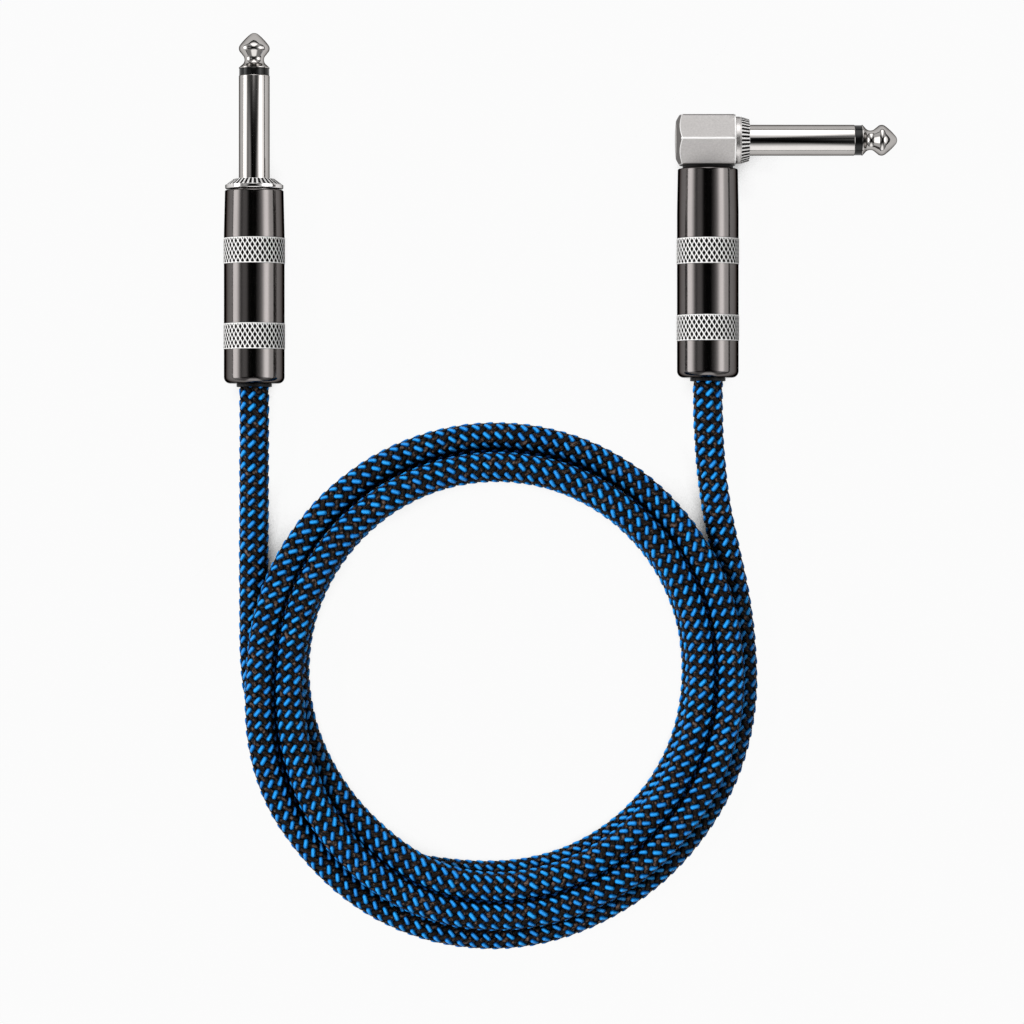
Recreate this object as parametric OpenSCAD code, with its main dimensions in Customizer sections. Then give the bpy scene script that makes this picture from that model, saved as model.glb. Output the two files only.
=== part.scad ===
// Instrument cable with a straight 6.35 mm plug on one end and a right-angle
// 6.35 mm plug on the other, lying flat with its braided cable in a loose coil.
//
// +Z is up and z = 0 is the surface that the cable lies on. The origin is the
// bottom centre of the box around the two plugs. The straight plug points
// along +Y, the shaft of the right-angle plug along +X.

/* [Plug shafts] */
// Diameter of the shaft that enters the jack
shaft_d = 6.35; // [6.2:0.05:6.5]
// Bore of the shaft, around the insulating tube
shaft_bore_d = 4.4; // [4:0.1:5]
// Diameter of the shaft's seat, behind its visible length
seat_d = 7; // [6.8:0.1:7.6]
// Thickness of the insulating ring behind the tip
ring_l = 1.45; // [0.8:0.05:2.5]
// Radial step from the shaft down to the insulating ring
ring_inset = 0.17; // [0.17:0.01:0.3]
// Length of the tip in front of the insulating ring
tip_l = 7.35; // [6.8:0.05:8.5]
// Diameter of the tip's bulb
bulb_d = 6.3; // [5.8:0.05:6.35]
// Distance from the insulating ring to the bulb's widest place
bulb_at = 4.1; // [3.8:0.05:4.4]
// Rounding of the bulb
bulb_round = 1.2; // [0.8:0.1:1.4]
// Diameter of the tip's waist
waist_d = 4.1; // [3.6:0.1:4.6]
// Distance from the insulating ring to the waist
waist_at = 1.85; // [1.6:0.05:2]
// Rounding of the tip's waist
waist_round = 1.3; // [1.2:0.1:1.5]
// Rounding of the tip's nose
nose_round = 0.9; // [0.5:0.1:1.1]
// Width of the land on the tip's base
tip_land = 0.2; // [0.1:0.05:0.3]
// Diameter of the rod that carries the tip
rod_d = 2.4; // [2:0.1:2.8]

/* [Straight plug] */
// Visible length of the straight plug's shaft
straight_sleeve_l = 21.3; // [19:0.1:24]
// Diameter of the collar where the shaft leaves it
collar_front_d = 8.7; // [8:0.1:10]
// Diameter of the collar's rim
collar_d = 12; // [11:0.1:12.4]
// Length of the collar
collar_l = 2.1; // [1.6:0.1:3]
// Length of the collar's rim
collar_rim_l = 0.6; // [0.4:0.1:1]
// Thickness of the insulating washer under the tip lug
washer_t = 0.8; // [0.5:0.1:1.2]

/* [Right-angle plug] */
// Visible length of the right-angle plug's shaft
angle_sleeve_l = 21.7; // [19:0.1:24]
// Width of the hexagonal head across its flats
head_af = 10.3; // [10.1:0.1:12]
// Length of the head behind the barrel's axis
head_back_l = 6.6; // [6:0.1:9]
// Length of the head in front of the barrel's axis
head_front_l = 5.6; // [5.4:0.1:8]
// Diameter of the head's flat closed end, inside its bevel
head_end_d = 7.6; // [6:0.1:9]
// Length of the bevel on the head's closed end
head_bevel_l = 1.2; // [0.6:0.1:2]
// Chamfer on the corners of the head's open end
head_chamfer = 0.4; // [0.2:0.1:0.8]
// Gap between the head and its barrel, where the stem shows
head_gap = 0.8; // [0.4:0.1:1.5]
// Depth of the shaft's seat in the head
seat_depth = 2.3; // [1.8:0.1:2.4]
// Diameter of the wiring bore through the stem into the head
cavity_d = 5.6; // [5.2:0.1:5.8]
// Diameter of the collar between head and shaft
neck_d = 9.7; // [9:0.1:10]
// Diameter of that collar where the shaft leaves it
neck_front_d = 8.7; // [8:0.1:9]
// Length of that collar
neck_l = 2.9; // [2.2:0.1:4]
// Length of that collar's knurled front
neck_knurl_l = 1.5; // [1:0.1:2]
// Length of the tip contact from the rod's axis to its solder end
contact_l = 18; // [16:0.5:21]

/* [Barrels] */
// Diameter of the straight plug's barrel
straight_barrel_d = 12.5; // [12.2:0.1:14]
// Diameter of that barrel's front edge
straight_front_d = 12.1; // [11.8:0.1:12.2]
// Length of that barrel's tapering front
straight_taper_l = 9; // [5:0.5:9.5]
// Length of the straight plug's barrel
straight_barrel_l = 39.8; // [38:0.2:46]
// Place of that barrel's front knurled band
straight_band_1 = 9.8; // [9.6:0.1:12]
// Place of that barrel's rear knurled band
straight_band_2 = 27.4; // [20:0.1:29]
// Diameter of the right-angle plug's barrel
angle_barrel_d = 12.7; // [12.5:0.1:14]
// Diameter of that barrel's front edge
angle_front_d = 12.4; // [12.2:0.1:12.5]
// Length of that barrel's tapering front
angle_taper_l = 9; // [5:0.5:12]
// Length of the right-angle plug's barrel
angle_barrel_l = 43; // [41:0.2:48]
// Place of that barrel's front knurled band
angle_band_1 = 14.3; // [13:0.1:18]
// Place of that barrel's rear knurled band
angle_band_2 = 30.1; // [24:0.1:32]
// Width of a knurled band
band_w = 5.4; // [4:0.1:7]
// How far a knurled band stands proud of its barrel
band_proud = 0.1; // [0.05:0.05:0.3]
// Wall of a barrel
wall = 1; // [0.8:0.05:1.1]
// Thickness of a barrel's rear wall
end_wall = 1.8; // [1.4:0.1:2.4]
// Rounding of a barrel's rear edge
end_round = 1.7; // [0.8:0.1:1.8]
// Diameter of the thread that a barrel screws onto
thread_d = 9.5; // [9.2:0.1:9.8]
// Length of that thread
thread_l = 7; // [6:0.5:8]
// Length of the threaded bore in a barrel
barrel_thread_l = 7.8; // [7.6:0.1:8.4]

/* [Inside the barrels] */
// Wall of the insulating liner
liner_t = 0.5; // [0.3:0.05:0.6]
// Thickness of the sheet brass of the ground clamps
clamp_t = 0.5; // [0.4:0.05:0.6]
// Outer diameter of a ground clamp's ring
clamp_ring_d = 8.4; // [8:0.1:8.8]
// Width of a ground clamp's strip
clamp_strip_w = 3.4; // [2.4:0.1:3.8]
// Length of a ground clamp's jaw along the cable
clamp_jaw_l = 4; // [3:0.5:6]
// Distance from the end of the braid to a ground clamp's jaw
clamp_jaw_at = 1; // [0.5:0.1:2]
// Width of the opening in a ground clamp's jaw
clamp_slot_w = 2.4; // [1.6:0.1:3]
// Thickness of the sheet brass of the tip contacts
tag_t = 0.4; // [0.3:0.05:0.6]
// Width of a tip contact
tag_w = 2.6; // [2:0.1:3]
// Distance from the barrel's axis to a tip contact
tag_x = 1.7; // [1.6:0.05:1.9]
// Length of the straight plug's solder tag
tag_l = 5; // [4:0.5:7]
// Diameter of the riveted head that holds a tip contact on its rod
rivet_d = 3.2; // [2.9:0.1:3.4]
// Length of that riveted head
rivet_l = 0.5; // [0.3:0.1:0.8]
// Diameter of a grommet's outer flange
grommet_d = 7.3; // [7.2:0.1:8]
// Thickness of a grommet's outer flange
grommet_flange_t = 0.6; // [0.4:0.1:1]
// Wall of a grommet's neck
grommet_wall = 0.3; // [0.25:0.05:0.4]
// Diameter of a grommet's flange inside the barrel
grommet_inner_d = 8.6; // [8:0.1:9.4]
// Thickness of that inner flange
grommet_inner_t = 0.8; // [0.5:0.1:1.2]

/* [Cable] */
// Diameter of the braided cable
cable_d = 6; // [5.9:0.05:6.05]
// Diameter of the jacket under the braid
jacket_d = 4.6; // [4:0.1:5]
// Length of the bare jacket in front of the braid
jacket_l = 2; // [1:0.5:3]
// Diameter of the insulated core
core_d = 2; // [1.6:0.1:2.2]
// Diameter of the twisted shield
shield_d = 1.3; // [1:0.1:1.5]
// Distance from a barrel's front edge to the end of the braid
braid_end = 23.5; // [22:0.5:26]
// Radius of the coil at the middle of its inner turns
coil_inner_r = 42; // [40:0.5:43]
// Radius of the coil at the middle of its outer turns
coil_outer_r = 48.4; // [47.5:0.1:49]
// Height from the coil's lower turns to its upper ones
coil_layer_h = 5.8; // [5.4:0.1:5.9]

/* [Lay] */
// Distance between the axes of the two barrels
plug_spacing = 93.5; // [90:0.5:100]
// How far the right-angle plug's shaft lies beyond the straight plug's collar
angle_ahead = 8; // [4:0.5:12]

/* [Fits] */
// Radial clearance of pieces that turn or slide on each other
run_gap = 0.05; // [0.03:0.01:0.1]
// Radial clearance of pieces that are pressed or held together
seat_gap = 0.02; // [0.01:0.01:0.05]
// Clearance along the axis between a barrel and what it closes on
face_gap = 0.25; // [0.15:0.05:0.4]
// Radial clearance of the cable in a grommet
cable_gap = 0.1; // [0.08:0.01:0.15]

/* [Hidden] */
$fn = 64;

// Plug reaches along the shaft, from the face that the jack meets
front_reach = ring_l + tip_l;
stem_end = collar_l + face_gap + thread_l;
rear_reach = collar_l + face_gap + straight_barrel_l + run_gap * 2 + grommet_flange_t;
angle_reach = head_front_l + neck_l;

// Where the plugs lie: the box around them is centred on the origin
straight_r = straight_barrel_d / 2 + band_proud;
angle_r = angle_barrel_d / 2 + band_proud;
half_x = (straight_r + plug_spacing + angle_reach + angle_sleeve_l + front_reach) / 2;
straight_x = straight_r - half_x;
straight_y = (rear_reach - straight_sleeve_l - front_reach) / 2;
angle_x = straight_x + plug_spacing;
angle_y = straight_y + angle_ahead;
angle_barrel_y = angle_y - head_af / 2 - head_gap;

// The coil's centre and the routes of the two stretches outside it. Each
// starts at the end of the braid in its plug, runs straight through the
// grommet, comes down to the surface and follows the coil's lower half.
coil_x = -12.6;
coil_y = -95.4;
cable_z = cable_d / 2;
straight_route = [
    [straight_x, straight_y - collar_l - face_gap - braid_end, straight_r],
    [straight_x, -31, straight_r],
    [straight_x, -44, straight_r],
    [-63.2, -53, 5.4],
    [-63.3, -62, 3.6],
    [-63.4, -72, cable_z],
    [-63.3, -84, cable_z],
    [-62.9, -96, cable_z],
    [-61.8, -107, cable_z],
    [-58.4, -120, cable_z],
    [-52.4, -131.4, cable_z],
    [-43.4, -139.8, cable_z],
    [-33.6, -145.8, cable_z],
    [-23.4, -149.2, cable_z],
    [-12.6, -149.8, cable_z]
];
angle_route = [
    [angle_x, angle_barrel_y - braid_end, angle_r],
    [angle_x, -29, angle_r],
    [angle_x, -43, angle_r],
    [31, -51, 5.5],
    [31.9, -59, 3.7],
    [33.2, -66, cable_z],
    [35.6, -76, cable_z],
    [37.2, -86, cable_z],
    [37.8, -96, cable_z],
    [37.2, -106, cable_z],
    [33.6, -117.4, cable_z],
    [28.2, -127.4, cable_z],
    [20.8, -135.8, cable_z],
    [10.8, -143.4, cable_z],
    [-0.6, -148.4, cable_z],
    [-12.6, -149.8, cable_z]
];

// ---- helpers ----

// Points along an arc about c, from angle a0 to angle a1
function arc(c, r, a0, a1, n = 8) =
    [for (i = [0:n]) let (a = a0 + (a1 - a0) * i / n) c + r * [cos(a), sin(a)]];

function unit(v) = v / norm(v);

// Direction of a path at its point i
function heading(path, i) =
    unit(path[min(i + 1, len(path) - 1)] - path[max(i - 1, 0)]);

// Corners of a ring about point i of a path, square to the path
function ring_at(path, i, r, sides, up) =
    let (t = heading(path, i), s = unit(cross(up, t)), u = cross(t, s))
    [for (k = [0:sides - 1])
        path[i] + r * (cos(360 * k / sides) * s + sin(360 * k / sides) * u)];

// A closed round tube along a path that never runs parallel to up
module swept(path, d, sides = 12, up = [0, 0, 1]) {
    last = (len(path) - 1) * sides;
    polyhedron(
        points = [for (i = [0:len(path) - 1]) each ring_at(path, i, d / 2, sides, up)],
        faces = concat(
            [[for (k = [0:sides - 1]) k]],
            [for (i = [0:len(path) - 2], k = [0:sides - 1])
                let (a = i * sides, b = (k + 1) % sides)
                [a + k, a + sides + k, a + sides + b, a + b]],
            [[for (k = [sides - 1:-1:0]) last + k]]
        )
    );
}

// A disc or tube from height z0 to z1
module ring(d, z0, z1, bore = 0) {
    difference() {
        translate([0, 0, z0]) cylinder(d = d, h = z1 - z0);
        if (bore > 0) translate([0, 0, z0 - 1]) cylinder(d = bore, h = z1 - z0 + 2);
    }
}

// Local +Z becomes +Y at the straight plug's collar face
module at_straight_shaft()
    translate([straight_x, straight_y, straight_r]) rotate([-90, 0, 0]) children();

// The same, at the front edge of the straight plug's barrel
module at_straight_barrel()
    translate([straight_x, straight_y - collar_l - face_gap, straight_r])
        rotate([-90, 0, 0]) children();

// Local +Z becomes +X at the front face of the right-angle plug's collar
module at_angle_shaft()
    translate([angle_x + angle_reach, angle_y, angle_r]) rotate([0, 90, 0]) children();

// Local +Z becomes +Y at the front edge of the right-angle plug's barrel
module at_angle_barrel()
    translate([angle_x, angle_barrel_y, angle_r]) rotate([-90, 0, 0]) children();

// ---- pieces that both plugs have ----

// Half outline of the tip, from its base on the insulating ring to its nose
function tip_outline() = concat(
    [[0, 0], [bulb_d / 2, 0], [bulb_d / 2, tip_land]],
    arc([waist_d / 2 + waist_round, waist_at], waist_round, 245, 150),
    arc([bulb_d / 2 - bulb_round, bulb_at], bulb_round, -30, 45),
    arc([0, tip_l - nose_round], nose_round, 45, 90)
);

// Tip contact and the rod behind it; the rod ends in a riveted head at rod_end
module tip(sleeve_l, rod_end) {
    translate([0, 0, sleeve_l + ring_l]) rotate_extrude() polygon(tip_outline());
    ring(rod_d, rod_end, sleeve_l + ring_l + 0.5);
    ring(rivet_d, rod_end, rod_end + rivet_l);
}

// Insulating ring behind the tip, in one with the tube around the rod
module insulator(sleeve_l, tube_end) {
    difference() {
        union() {
            ring(shaft_d - 2 * ring_inset, sleeve_l, sleeve_l + ring_l);
            ring(shaft_bore_d - 2 * seat_gap, tube_end, sleeve_l + ring_l / 2);
        }
        ring(rod_d + 2 * seat_gap, tube_end - 1, sleeve_l + ring_l + 1);
    }
}

// Barrel with its two knurled bands; z = 0 is its front edge, its rear is down
module barrel(d, front_d, taper_l, l, band_1, band_2) {
    difference() {
        union() {
            rotate_extrude() {
                polygon([[0, 0], [front_d / 2, 0], [d / 2, -taper_l], [0, -taper_l]]);
                translate([0, end_round - l]) square([d / 2, l - taper_l - end_round]);
                translate([0, -l]) square([d / 2 - end_round, end_round + 1]);
                translate([d / 2 - end_round, end_round - l]) circle(r = end_round);
            }
            for (at = [band_1, band_2]) ring(d + 2 * band_proud, -at - band_w, -at);
        }
        translate([0, 0, -barrel_thread_l - 1])
            cylinder(d = thread_d + 2 * run_gap, h = barrel_thread_l + 2);
        translate([0, 0, end_wall - l])
            cylinder(d = d - 2 * wall, h = l - end_wall - barrel_thread_l);
        translate([0, 0, -l - 1])
            cylinder(d = grommet_neck_d() + 2 * run_gap, h = end_wall + 2);
    }
}

// Insulating liner that lies against the barrel's wall
module liner(barrel_d, l) {
    liner_d = barrel_d - 2 * wall - 2 * seat_gap;
    ring(liner_d, end_wall + grommet_inner_t + face_gap - l,
        -barrel_thread_l - face_gap, liner_d - 2 * liner_t);
}

function grommet_neck_d() = cable_d + 2 * cable_gap + 2 * grommet_wall;

// Grommet in the barrel's rear wall, with a flange on either side of it
module grommet(l) {
    difference() {
        union() {
            ring(grommet_d, -l - 2 * run_gap - grommet_flange_t, -l - 2 * run_gap);
            ring(grommet_neck_d(), -l - 2 * run_gap - grommet_flange_t / 2,
                end_wall - l + 2 * run_gap + grommet_inner_t / 2);
            ring(grommet_inner_d, end_wall - l + 2 * run_gap,
                end_wall - l + 2 * run_gap + grommet_inner_t);
        }
        ring(cable_d + 2 * cable_gap, -l - end_wall, 2 * end_wall - l);
    }
}

// Ground clamp: a ring on the stem's rear face, a strip, and a jaw on the braid
module ground_clamp(hole_d) {
    jaw_d = cable_d + 2 * run_gap;
    strip_x = jaw_d / 2 + clamp_t / 2;
    jaw_end = -braid_end - clamp_jaw_at - clamp_jaw_l;
    ring(clamp_ring_d, -thread_l - clamp_t, -thread_l, hole_d);
    translate([-strip_x - clamp_t, -clamp_strip_w / 2, jaw_end])
        cube([clamp_t, clamp_strip_w, -thread_l - jaw_end]);
    difference() {
        ring(jaw_d + 2 * clamp_t, jaw_end, jaw_end + clamp_jaw_l, jaw_d);
        translate([0, -clamp_slot_w / 2, jaw_end - 1])
            cube([cable_d, clamp_slot_w, clamp_jaw_l + 2]);
    }
}

// End of the jacket under the braid, in front of the braid's end
module inner_jacket()
    ring(jacket_d, -braid_end, jacket_l - braid_end);

// Insulated core, from the jacket to the solder end of the tip contact
module core_wire(solder_end) {
    side_x = tag_x - core_d / 2 - seat_gap;
    start = jacket_l - braid_end;
    swept([[0, 0, start], [0, 0, start + 1], [0.9 * side_x, 0, start + 4],
        [side_x, 0, start + 5.5], [side_x, 0, solder_end]], core_d, 10, [0, 1, 0]);
}

// Shield, twisted into a tail and laid on the ground clamp's strip
module shield_tail() {
    near_x = -core_d / 2 - shield_d / 2 - 0.1;
    strip_x = cable_d / 2 + run_gap + clamp_t / 2;
    side_x = shield_d / 2 + seat_gap - strip_x;
    start = jacket_l - braid_end;
    swept([[near_x, 0, start], [near_x, 0, start + 1], [side_x, 0, start + 4],
        [side_x, 0, start + 9]], shield_d, 10, [0, 1, 0]);
}

// ---- straight plug ----

// How far behind the collar's face the straight plug's stack of discs ends
straight_clamp_end = stem_end + clamp_t;
straight_lug_end = straight_clamp_end + washer_t + tag_t;

module straight_tip() color("gainsboro")
    at_straight_shaft() tip(straight_sleeve_l, -straight_lug_end - rivet_l);

module straight_insulator() color("#18181a")
    at_straight_shaft() insulator(straight_sleeve_l, -straight_clamp_end);

// Shaft, the seat of its collar and the thread for the barrel in one piece
module straight_sleeve() color("gainsboro") at_straight_shaft()
    difference() {
        union() {
            ring(shaft_d, -1, straight_sleeve_l);
            ring(seat_d, -collar_l - 1, 0);
            ring(thread_d, -stem_end, -collar_l);
        }
        ring(shaft_bore_d, -stem_end - 1, straight_sleeve_l + 1);
    }

module straight_collar() color("#d8d6d2") at_straight_shaft()
    difference() {
        rotate_extrude() polygon([[0, 0], [collar_front_d / 2, 0],
            [collar_d / 2, collar_rim_l - collar_l], [collar_d / 2, -collar_l],
            [0, -collar_l]]);
        ring(seat_d + 2 * seat_gap, -collar_l - 1, 1);
    }

module straight_ground_clamp() color("#c8a858")
    at_straight_barrel() ground_clamp(shaft_bore_d);

module straight_washer() color("#7a3a22") at_straight_shaft()
    ring(cable_d, -straight_clamp_end - washer_t, -straight_clamp_end,
        rod_d + 2 * seat_gap);

// Solder lug: a disc under the rod's riveted head, with a tag bent to the rear
module straight_tip_lug() color("#c8a858") at_straight_shaft()
    difference() {
        union() {
            ring(2 * (tag_x + tag_t) + 0.4, -straight_lug_end, tag_t - straight_lug_end);
            translate([tag_x, -tag_w / 2, -straight_lug_end - tag_l])
                cube([tag_t, tag_w, tag_l + tag_t / 2]);
        }
        ring(rod_d + 2 * seat_gap, -straight_lug_end - 1, 1);
    }

module straight_liner() color("#e6e2d8")
    at_straight_barrel() liner(straight_barrel_d, straight_barrel_l);

module straight_barrel() color("#3c3a3c")
    at_straight_barrel() barrel(straight_barrel_d, straight_front_d, straight_taper_l,
        straight_barrel_l, straight_band_1, straight_band_2);

module straight_grommet() color("#141416")
    at_straight_barrel() grommet(straight_barrel_l);

module straight_inner_jacket() color("#202024")
    at_straight_barrel() inner_jacket();

module straight_core_wire() color("#e8e4da")
    at_straight_barrel()
        core_wire(collar_l + face_gap - straight_lug_end - rivet_l - 0.5);

module straight_shield_tail() color("#b87848")
    at_straight_barrel() shield_tail();

// ---- right-angle plug ----

// Distances from the face of the collar back to the pieces in the head
contact_face = angle_reach - tag_x - tag_t;
rod_above_barrel = head_af / 2 + head_gap;
stem_root = 0.1;

module angle_tip() color("gainsboro")
    at_angle_shaft() tip(angle_sleeve_l, -contact_face - tag_t - rivet_l);

module angle_insulator() color("#18181a")
    at_angle_shaft() insulator(angle_sleeve_l, -contact_face);

module angle_sleeve() color("gainsboro") at_angle_shaft()
    difference() {
        union() {
            ring(shaft_d, -1, angle_sleeve_l);
            ring(seat_d, -neck_l - seat_depth, 0);
        }
        ring(shaft_bore_d, -neck_l - seat_depth - 1, angle_sleeve_l + 1);
    }

module angle_collar() color("#d8d6d2") at_angle_shaft()
    difference() {
        rotate_extrude() polygon([[0, 0], [neck_front_d / 2, 0],
            [neck_d / 2, -neck_knurl_l], [neck_d / 2, -neck_l], [0, -neck_l]]);
        ring(seat_d + 2 * seat_gap, -neck_l - 1, 1);
    }

// Half outline of the round that bevels the hexagonal bar's two ends
function head_outline() =
    let (corner_r = head_af / 2 / cos(30), l = head_back_l + head_front_l)
    [[0, 0], [head_end_d / 2, 0], [corner_r, head_bevel_l],
        [corner_r, l - head_chamfer], [corner_r - head_chamfer, l], [0, l]];

// Head: a hexagonal bar, corner up, with a threaded stem square to it
module angle_head() color("#b4b0ae") {
    stem_l = thread_l + rod_above_barrel;
    difference() {
        union() {
            at_angle_shaft() translate([0, 0, -angle_reach - head_back_l])
                intersection() {
                    cylinder(r = head_af / 2 / cos(30), h = head_back_l + head_front_l,
                        $fn = 6);
                    rotate_extrude() polygon(head_outline());
                }
            at_angle_barrel() ring(thread_d, -thread_l, head_gap + stem_root);
        }
        at_angle_barrel() translate([0, 0, -thread_l - 1])
            cylinder(d = cavity_d, h = stem_l + 1 + rod_d);
        at_angle_shaft() ring(seat_d + 2 * seat_gap, -neck_l - seat_depth, 1);
        at_angle_shaft() ring(shaft_bore_d + 2 * seat_gap, -angle_reach, 0);
    }
}

// Tip contact: a strip hung on the rod's end, down through the stem
module angle_tip_contact() color("#c8a858") at_angle_barrel()
    difference() {
        translate([tag_x, -tag_w / 2, rod_above_barrel - contact_l])
            cube([tag_t, tag_w, contact_l + rod_d - 0.6]);
        translate([0, 0, rod_above_barrel]) rotate([0, 90, 0])
            cylinder(d = rod_d + 2 * seat_gap, h = cavity_d);
    }

module angle_ground_clamp() color("#c8a858")
    at_angle_barrel() ground_clamp(cavity_d);

module angle_liner() color("#e6e2d8")
    at_angle_barrel() liner(angle_barrel_d, angle_barrel_l);

module angle_barrel() color("#3c3a3c")
    at_angle_barrel() barrel(angle_barrel_d, angle_front_d, angle_taper_l,
        angle_barrel_l, angle_band_1, angle_band_2);

module angle_grommet() color("#141416")
    at_angle_barrel() grommet(angle_barrel_l);

module angle_inner_jacket() color("#202024")
    at_angle_barrel() inner_jacket();

module angle_core_wire() color("#e8e4da")
    at_angle_barrel() core_wire(rod_above_barrel - contact_l + tag_l);

module angle_shield_tail() color("#b87848")
    at_angle_barrel() shield_tail();

// ---- cable ----

// Two turns beside each other on two more: the outer shape of the coil
module cable_coil() color("#1a5fb4") translate([coil_x, coil_y, 0])
    rotate_extrude($fn = 128) {
        for (r = [coil_inner_r, coil_outer_r], layer = [0, 1])
            translate([r, cable_z + layer * coil_layer_h]) circle(d = cable_d);
        translate([coil_inner_r, cable_z])
            square([coil_outer_r - coil_inner_r, coil_layer_h]);
    }

module straight_lead() color("#1a5fb4") swept(straight_route, cable_d);

module angle_lead() color("#1a5fb4") swept(angle_route, cable_d);

straight_tip();
straight_insulator();
straight_sleeve();
straight_collar();
straight_ground_clamp();
straight_washer();
straight_tip_lug();
straight_liner();
straight_barrel();
straight_grommet();
straight_inner_jacket();
straight_core_wire();
straight_shield_tail();
angle_tip();
angle_insulator();
angle_sleeve();
angle_collar();
angle_head();
angle_tip_contact();
angle_ground_clamp();
angle_liner();
angle_barrel();
angle_grommet();
angle_inner_jacket();
angle_core_wire();
angle_shield_tail();
cable_coil();
straight_lead();
angle_lead();
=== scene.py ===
import math

import bmesh
import bpy
import numpy as np
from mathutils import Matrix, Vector


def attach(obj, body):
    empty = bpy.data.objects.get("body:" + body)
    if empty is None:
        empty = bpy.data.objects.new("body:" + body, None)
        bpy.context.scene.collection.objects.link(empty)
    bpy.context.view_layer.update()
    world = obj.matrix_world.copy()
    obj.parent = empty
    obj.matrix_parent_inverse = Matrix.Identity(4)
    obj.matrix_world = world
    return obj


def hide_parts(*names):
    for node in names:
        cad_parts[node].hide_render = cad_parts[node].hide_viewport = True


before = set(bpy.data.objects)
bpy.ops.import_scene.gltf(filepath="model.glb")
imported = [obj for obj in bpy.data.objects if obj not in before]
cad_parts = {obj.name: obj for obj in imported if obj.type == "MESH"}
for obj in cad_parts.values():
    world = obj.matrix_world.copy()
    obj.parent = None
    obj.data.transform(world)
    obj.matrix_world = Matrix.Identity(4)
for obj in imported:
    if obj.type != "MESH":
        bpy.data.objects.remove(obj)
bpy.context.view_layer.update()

mm = 0.001
print("frame loaded:", len(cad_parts), "nodes")

# camera: straight above, with the straight plug pointing up
cameraView = {"place": (-0.00994, -0.06225, 0.9), "lens": 152.4, "sensor": 36.0}


def addObject(name, data):
    made = bpy.data.objects.new(name, data)
    bpy.context.scene.collection.objects.link(made)
    return made


def makeCamera(view):
    camera = bpy.data.cameras.new("camera")
    camera.lens = view["lens"]
    camera.sensor_width = view["sensor"]
    holder = addObject("camera", camera)
    holder.location = view["place"]
    bpy.context.scene.camera = holder


makeCamera(cameraView)
print("camera set")

# meshes: outlines are in millimetres round an axis frame, finished meshes in metres
alongY = np.array([[1, 0, 0], [0, 0, 1], [0, -1, 0]], dtype=float)  # the axis is the world's +Y
alongX = np.array([[0, 0, 1], [0, 1, 0], [-1, 0, 0]], dtype=float)  # the axis is the world's +X
plainSegments = 96  # round a turned piece without teeth
touching = 0.01  # closer than this counts as the same height or radius


def finishMesh(mesh, sharpAngle=math.radians(38), weld=1e-8):
    # close the poles, turn the faces outwards and keep only the real edges sharp
    work = bmesh.new()
    work.from_mesh(mesh)
    bmesh.ops.remove_doubles(work, verts=work.verts, dist=weld)
    bmesh.ops.recalc_face_normals(work, faces=work.faces)
    for face in work.faces:
        face.smooth = True
    for edge in work.edges:
        if edge.is_manifold:
            edge.smooth = edge.calc_face_angle(0) < sharpAngle
    work.to_mesh(mesh)
    work.free()


def gridObject(name, points, loopRows=False, marks=None):
    # points[row, column], closed round each row; marks are values kept on the points by name
    rows, columns = points.shape[:2]
    i, j = np.meshgrid(np.arange(rows if loopRows else rows - 1), np.arange(columns), indexing="ij")
    nextI, nextJ = (i + 1) % rows, (j + 1) % columns
    quads = np.stack([i * columns + j, nextI * columns + j, nextI * columns + nextJ,
                      i * columns + nextJ], axis=-1)
    mesh = bpy.data.meshes.new(name)
    mesh.from_pydata(points.reshape(-1, 3).tolist(), [], quads.reshape(-1, 4).tolist())
    for key, values in (marks or {}).items():
        layer = mesh.attributes.new(key, "FLOAT", "POINT")
        layer.data.foreach_set("value", np.asarray(values, dtype=np.float32).ravel())
    finishMesh(mesh)
    return addObject(name, mesh)


def filleted(corners, steps=5, mostOfSide=0.49):
    # corners are (radius, height, rounding); the outline runs round each corner on an arc
    outline = []
    for k, corner in enumerate(corners):
        here, rounding = Vector(corner[:2]), corner[2]
        if rounding <= 0:
            outline.append(tuple(here))
            continue
        before = Vector(corners[k - 1][:2]) - here
        after = Vector(corners[(k + 1) % len(corners)][:2]) - here
        half = before.angle(after) / 2
        reach = min(rounding / math.tan(half), mostOfSide * before.length, mostOfSide * after.length)
        rounding = reach * math.tan(half)
        inward = (before.normalized() + after.normalized()).normalized()
        centre = here + inward * (rounding / math.sin(half))
        start = here + before.normalized() * reach - centre
        end = here + after.normalized() * reach - centre
        first = math.atan2(start.y, start.x)
        sweep = (math.atan2(end.y, end.x) - first + math.pi) % (2 * math.pi) - math.pi
        for s in range(steps + 1):
            a = first + sweep * s / steps
            outline.append((centre.x + rounding * math.cos(a), centre.y + rounding * math.sin(a)))
    return outline


def evenSteps(first, last, count):
    return [first + (last - first) * s / count for s in range(count + 1)]


def columnsOf(outline):
    # the radius and the height of each outline point, down a column
    return np.array(outline, dtype=float).T[:, :, None]


def roundAngles(count):
    return np.linspace(0, 2 * np.pi, count, endpoint=False)


def ringPoints(radius, height, angle, axisFrame):
    local = np.stack([radius * np.cos(angle), radius * np.sin(angle), height * np.ones_like(angle)], axis=-1)
    turn, origin = axisFrame
    return (local @ turn.T + origin) * mm


def turned(name, outline, axisFrame, segments=plainSegments, relief=0.0, marks=None, loop=True):
    # relief is added to the radius at each [outline point, segment]
    radius, height = columnsOf(outline)
    points = ringPoints(radius + relief, height, roundAngles(segments), axisFrame)
    return gridObject(name, points, loop, marks)


def fadedEnds(height, top, bottom, width):
    # 1 between two heights, falling to 0 at each of them
    return np.clip((top - height) / width, 0, 1) * np.clip((height - bottom) / width, 0, 1)


def saw(value):
    # 0 on whole numbers, 1 halfway between them
    return 1 - np.abs(2 * (value % 1.0) - 1)


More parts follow.
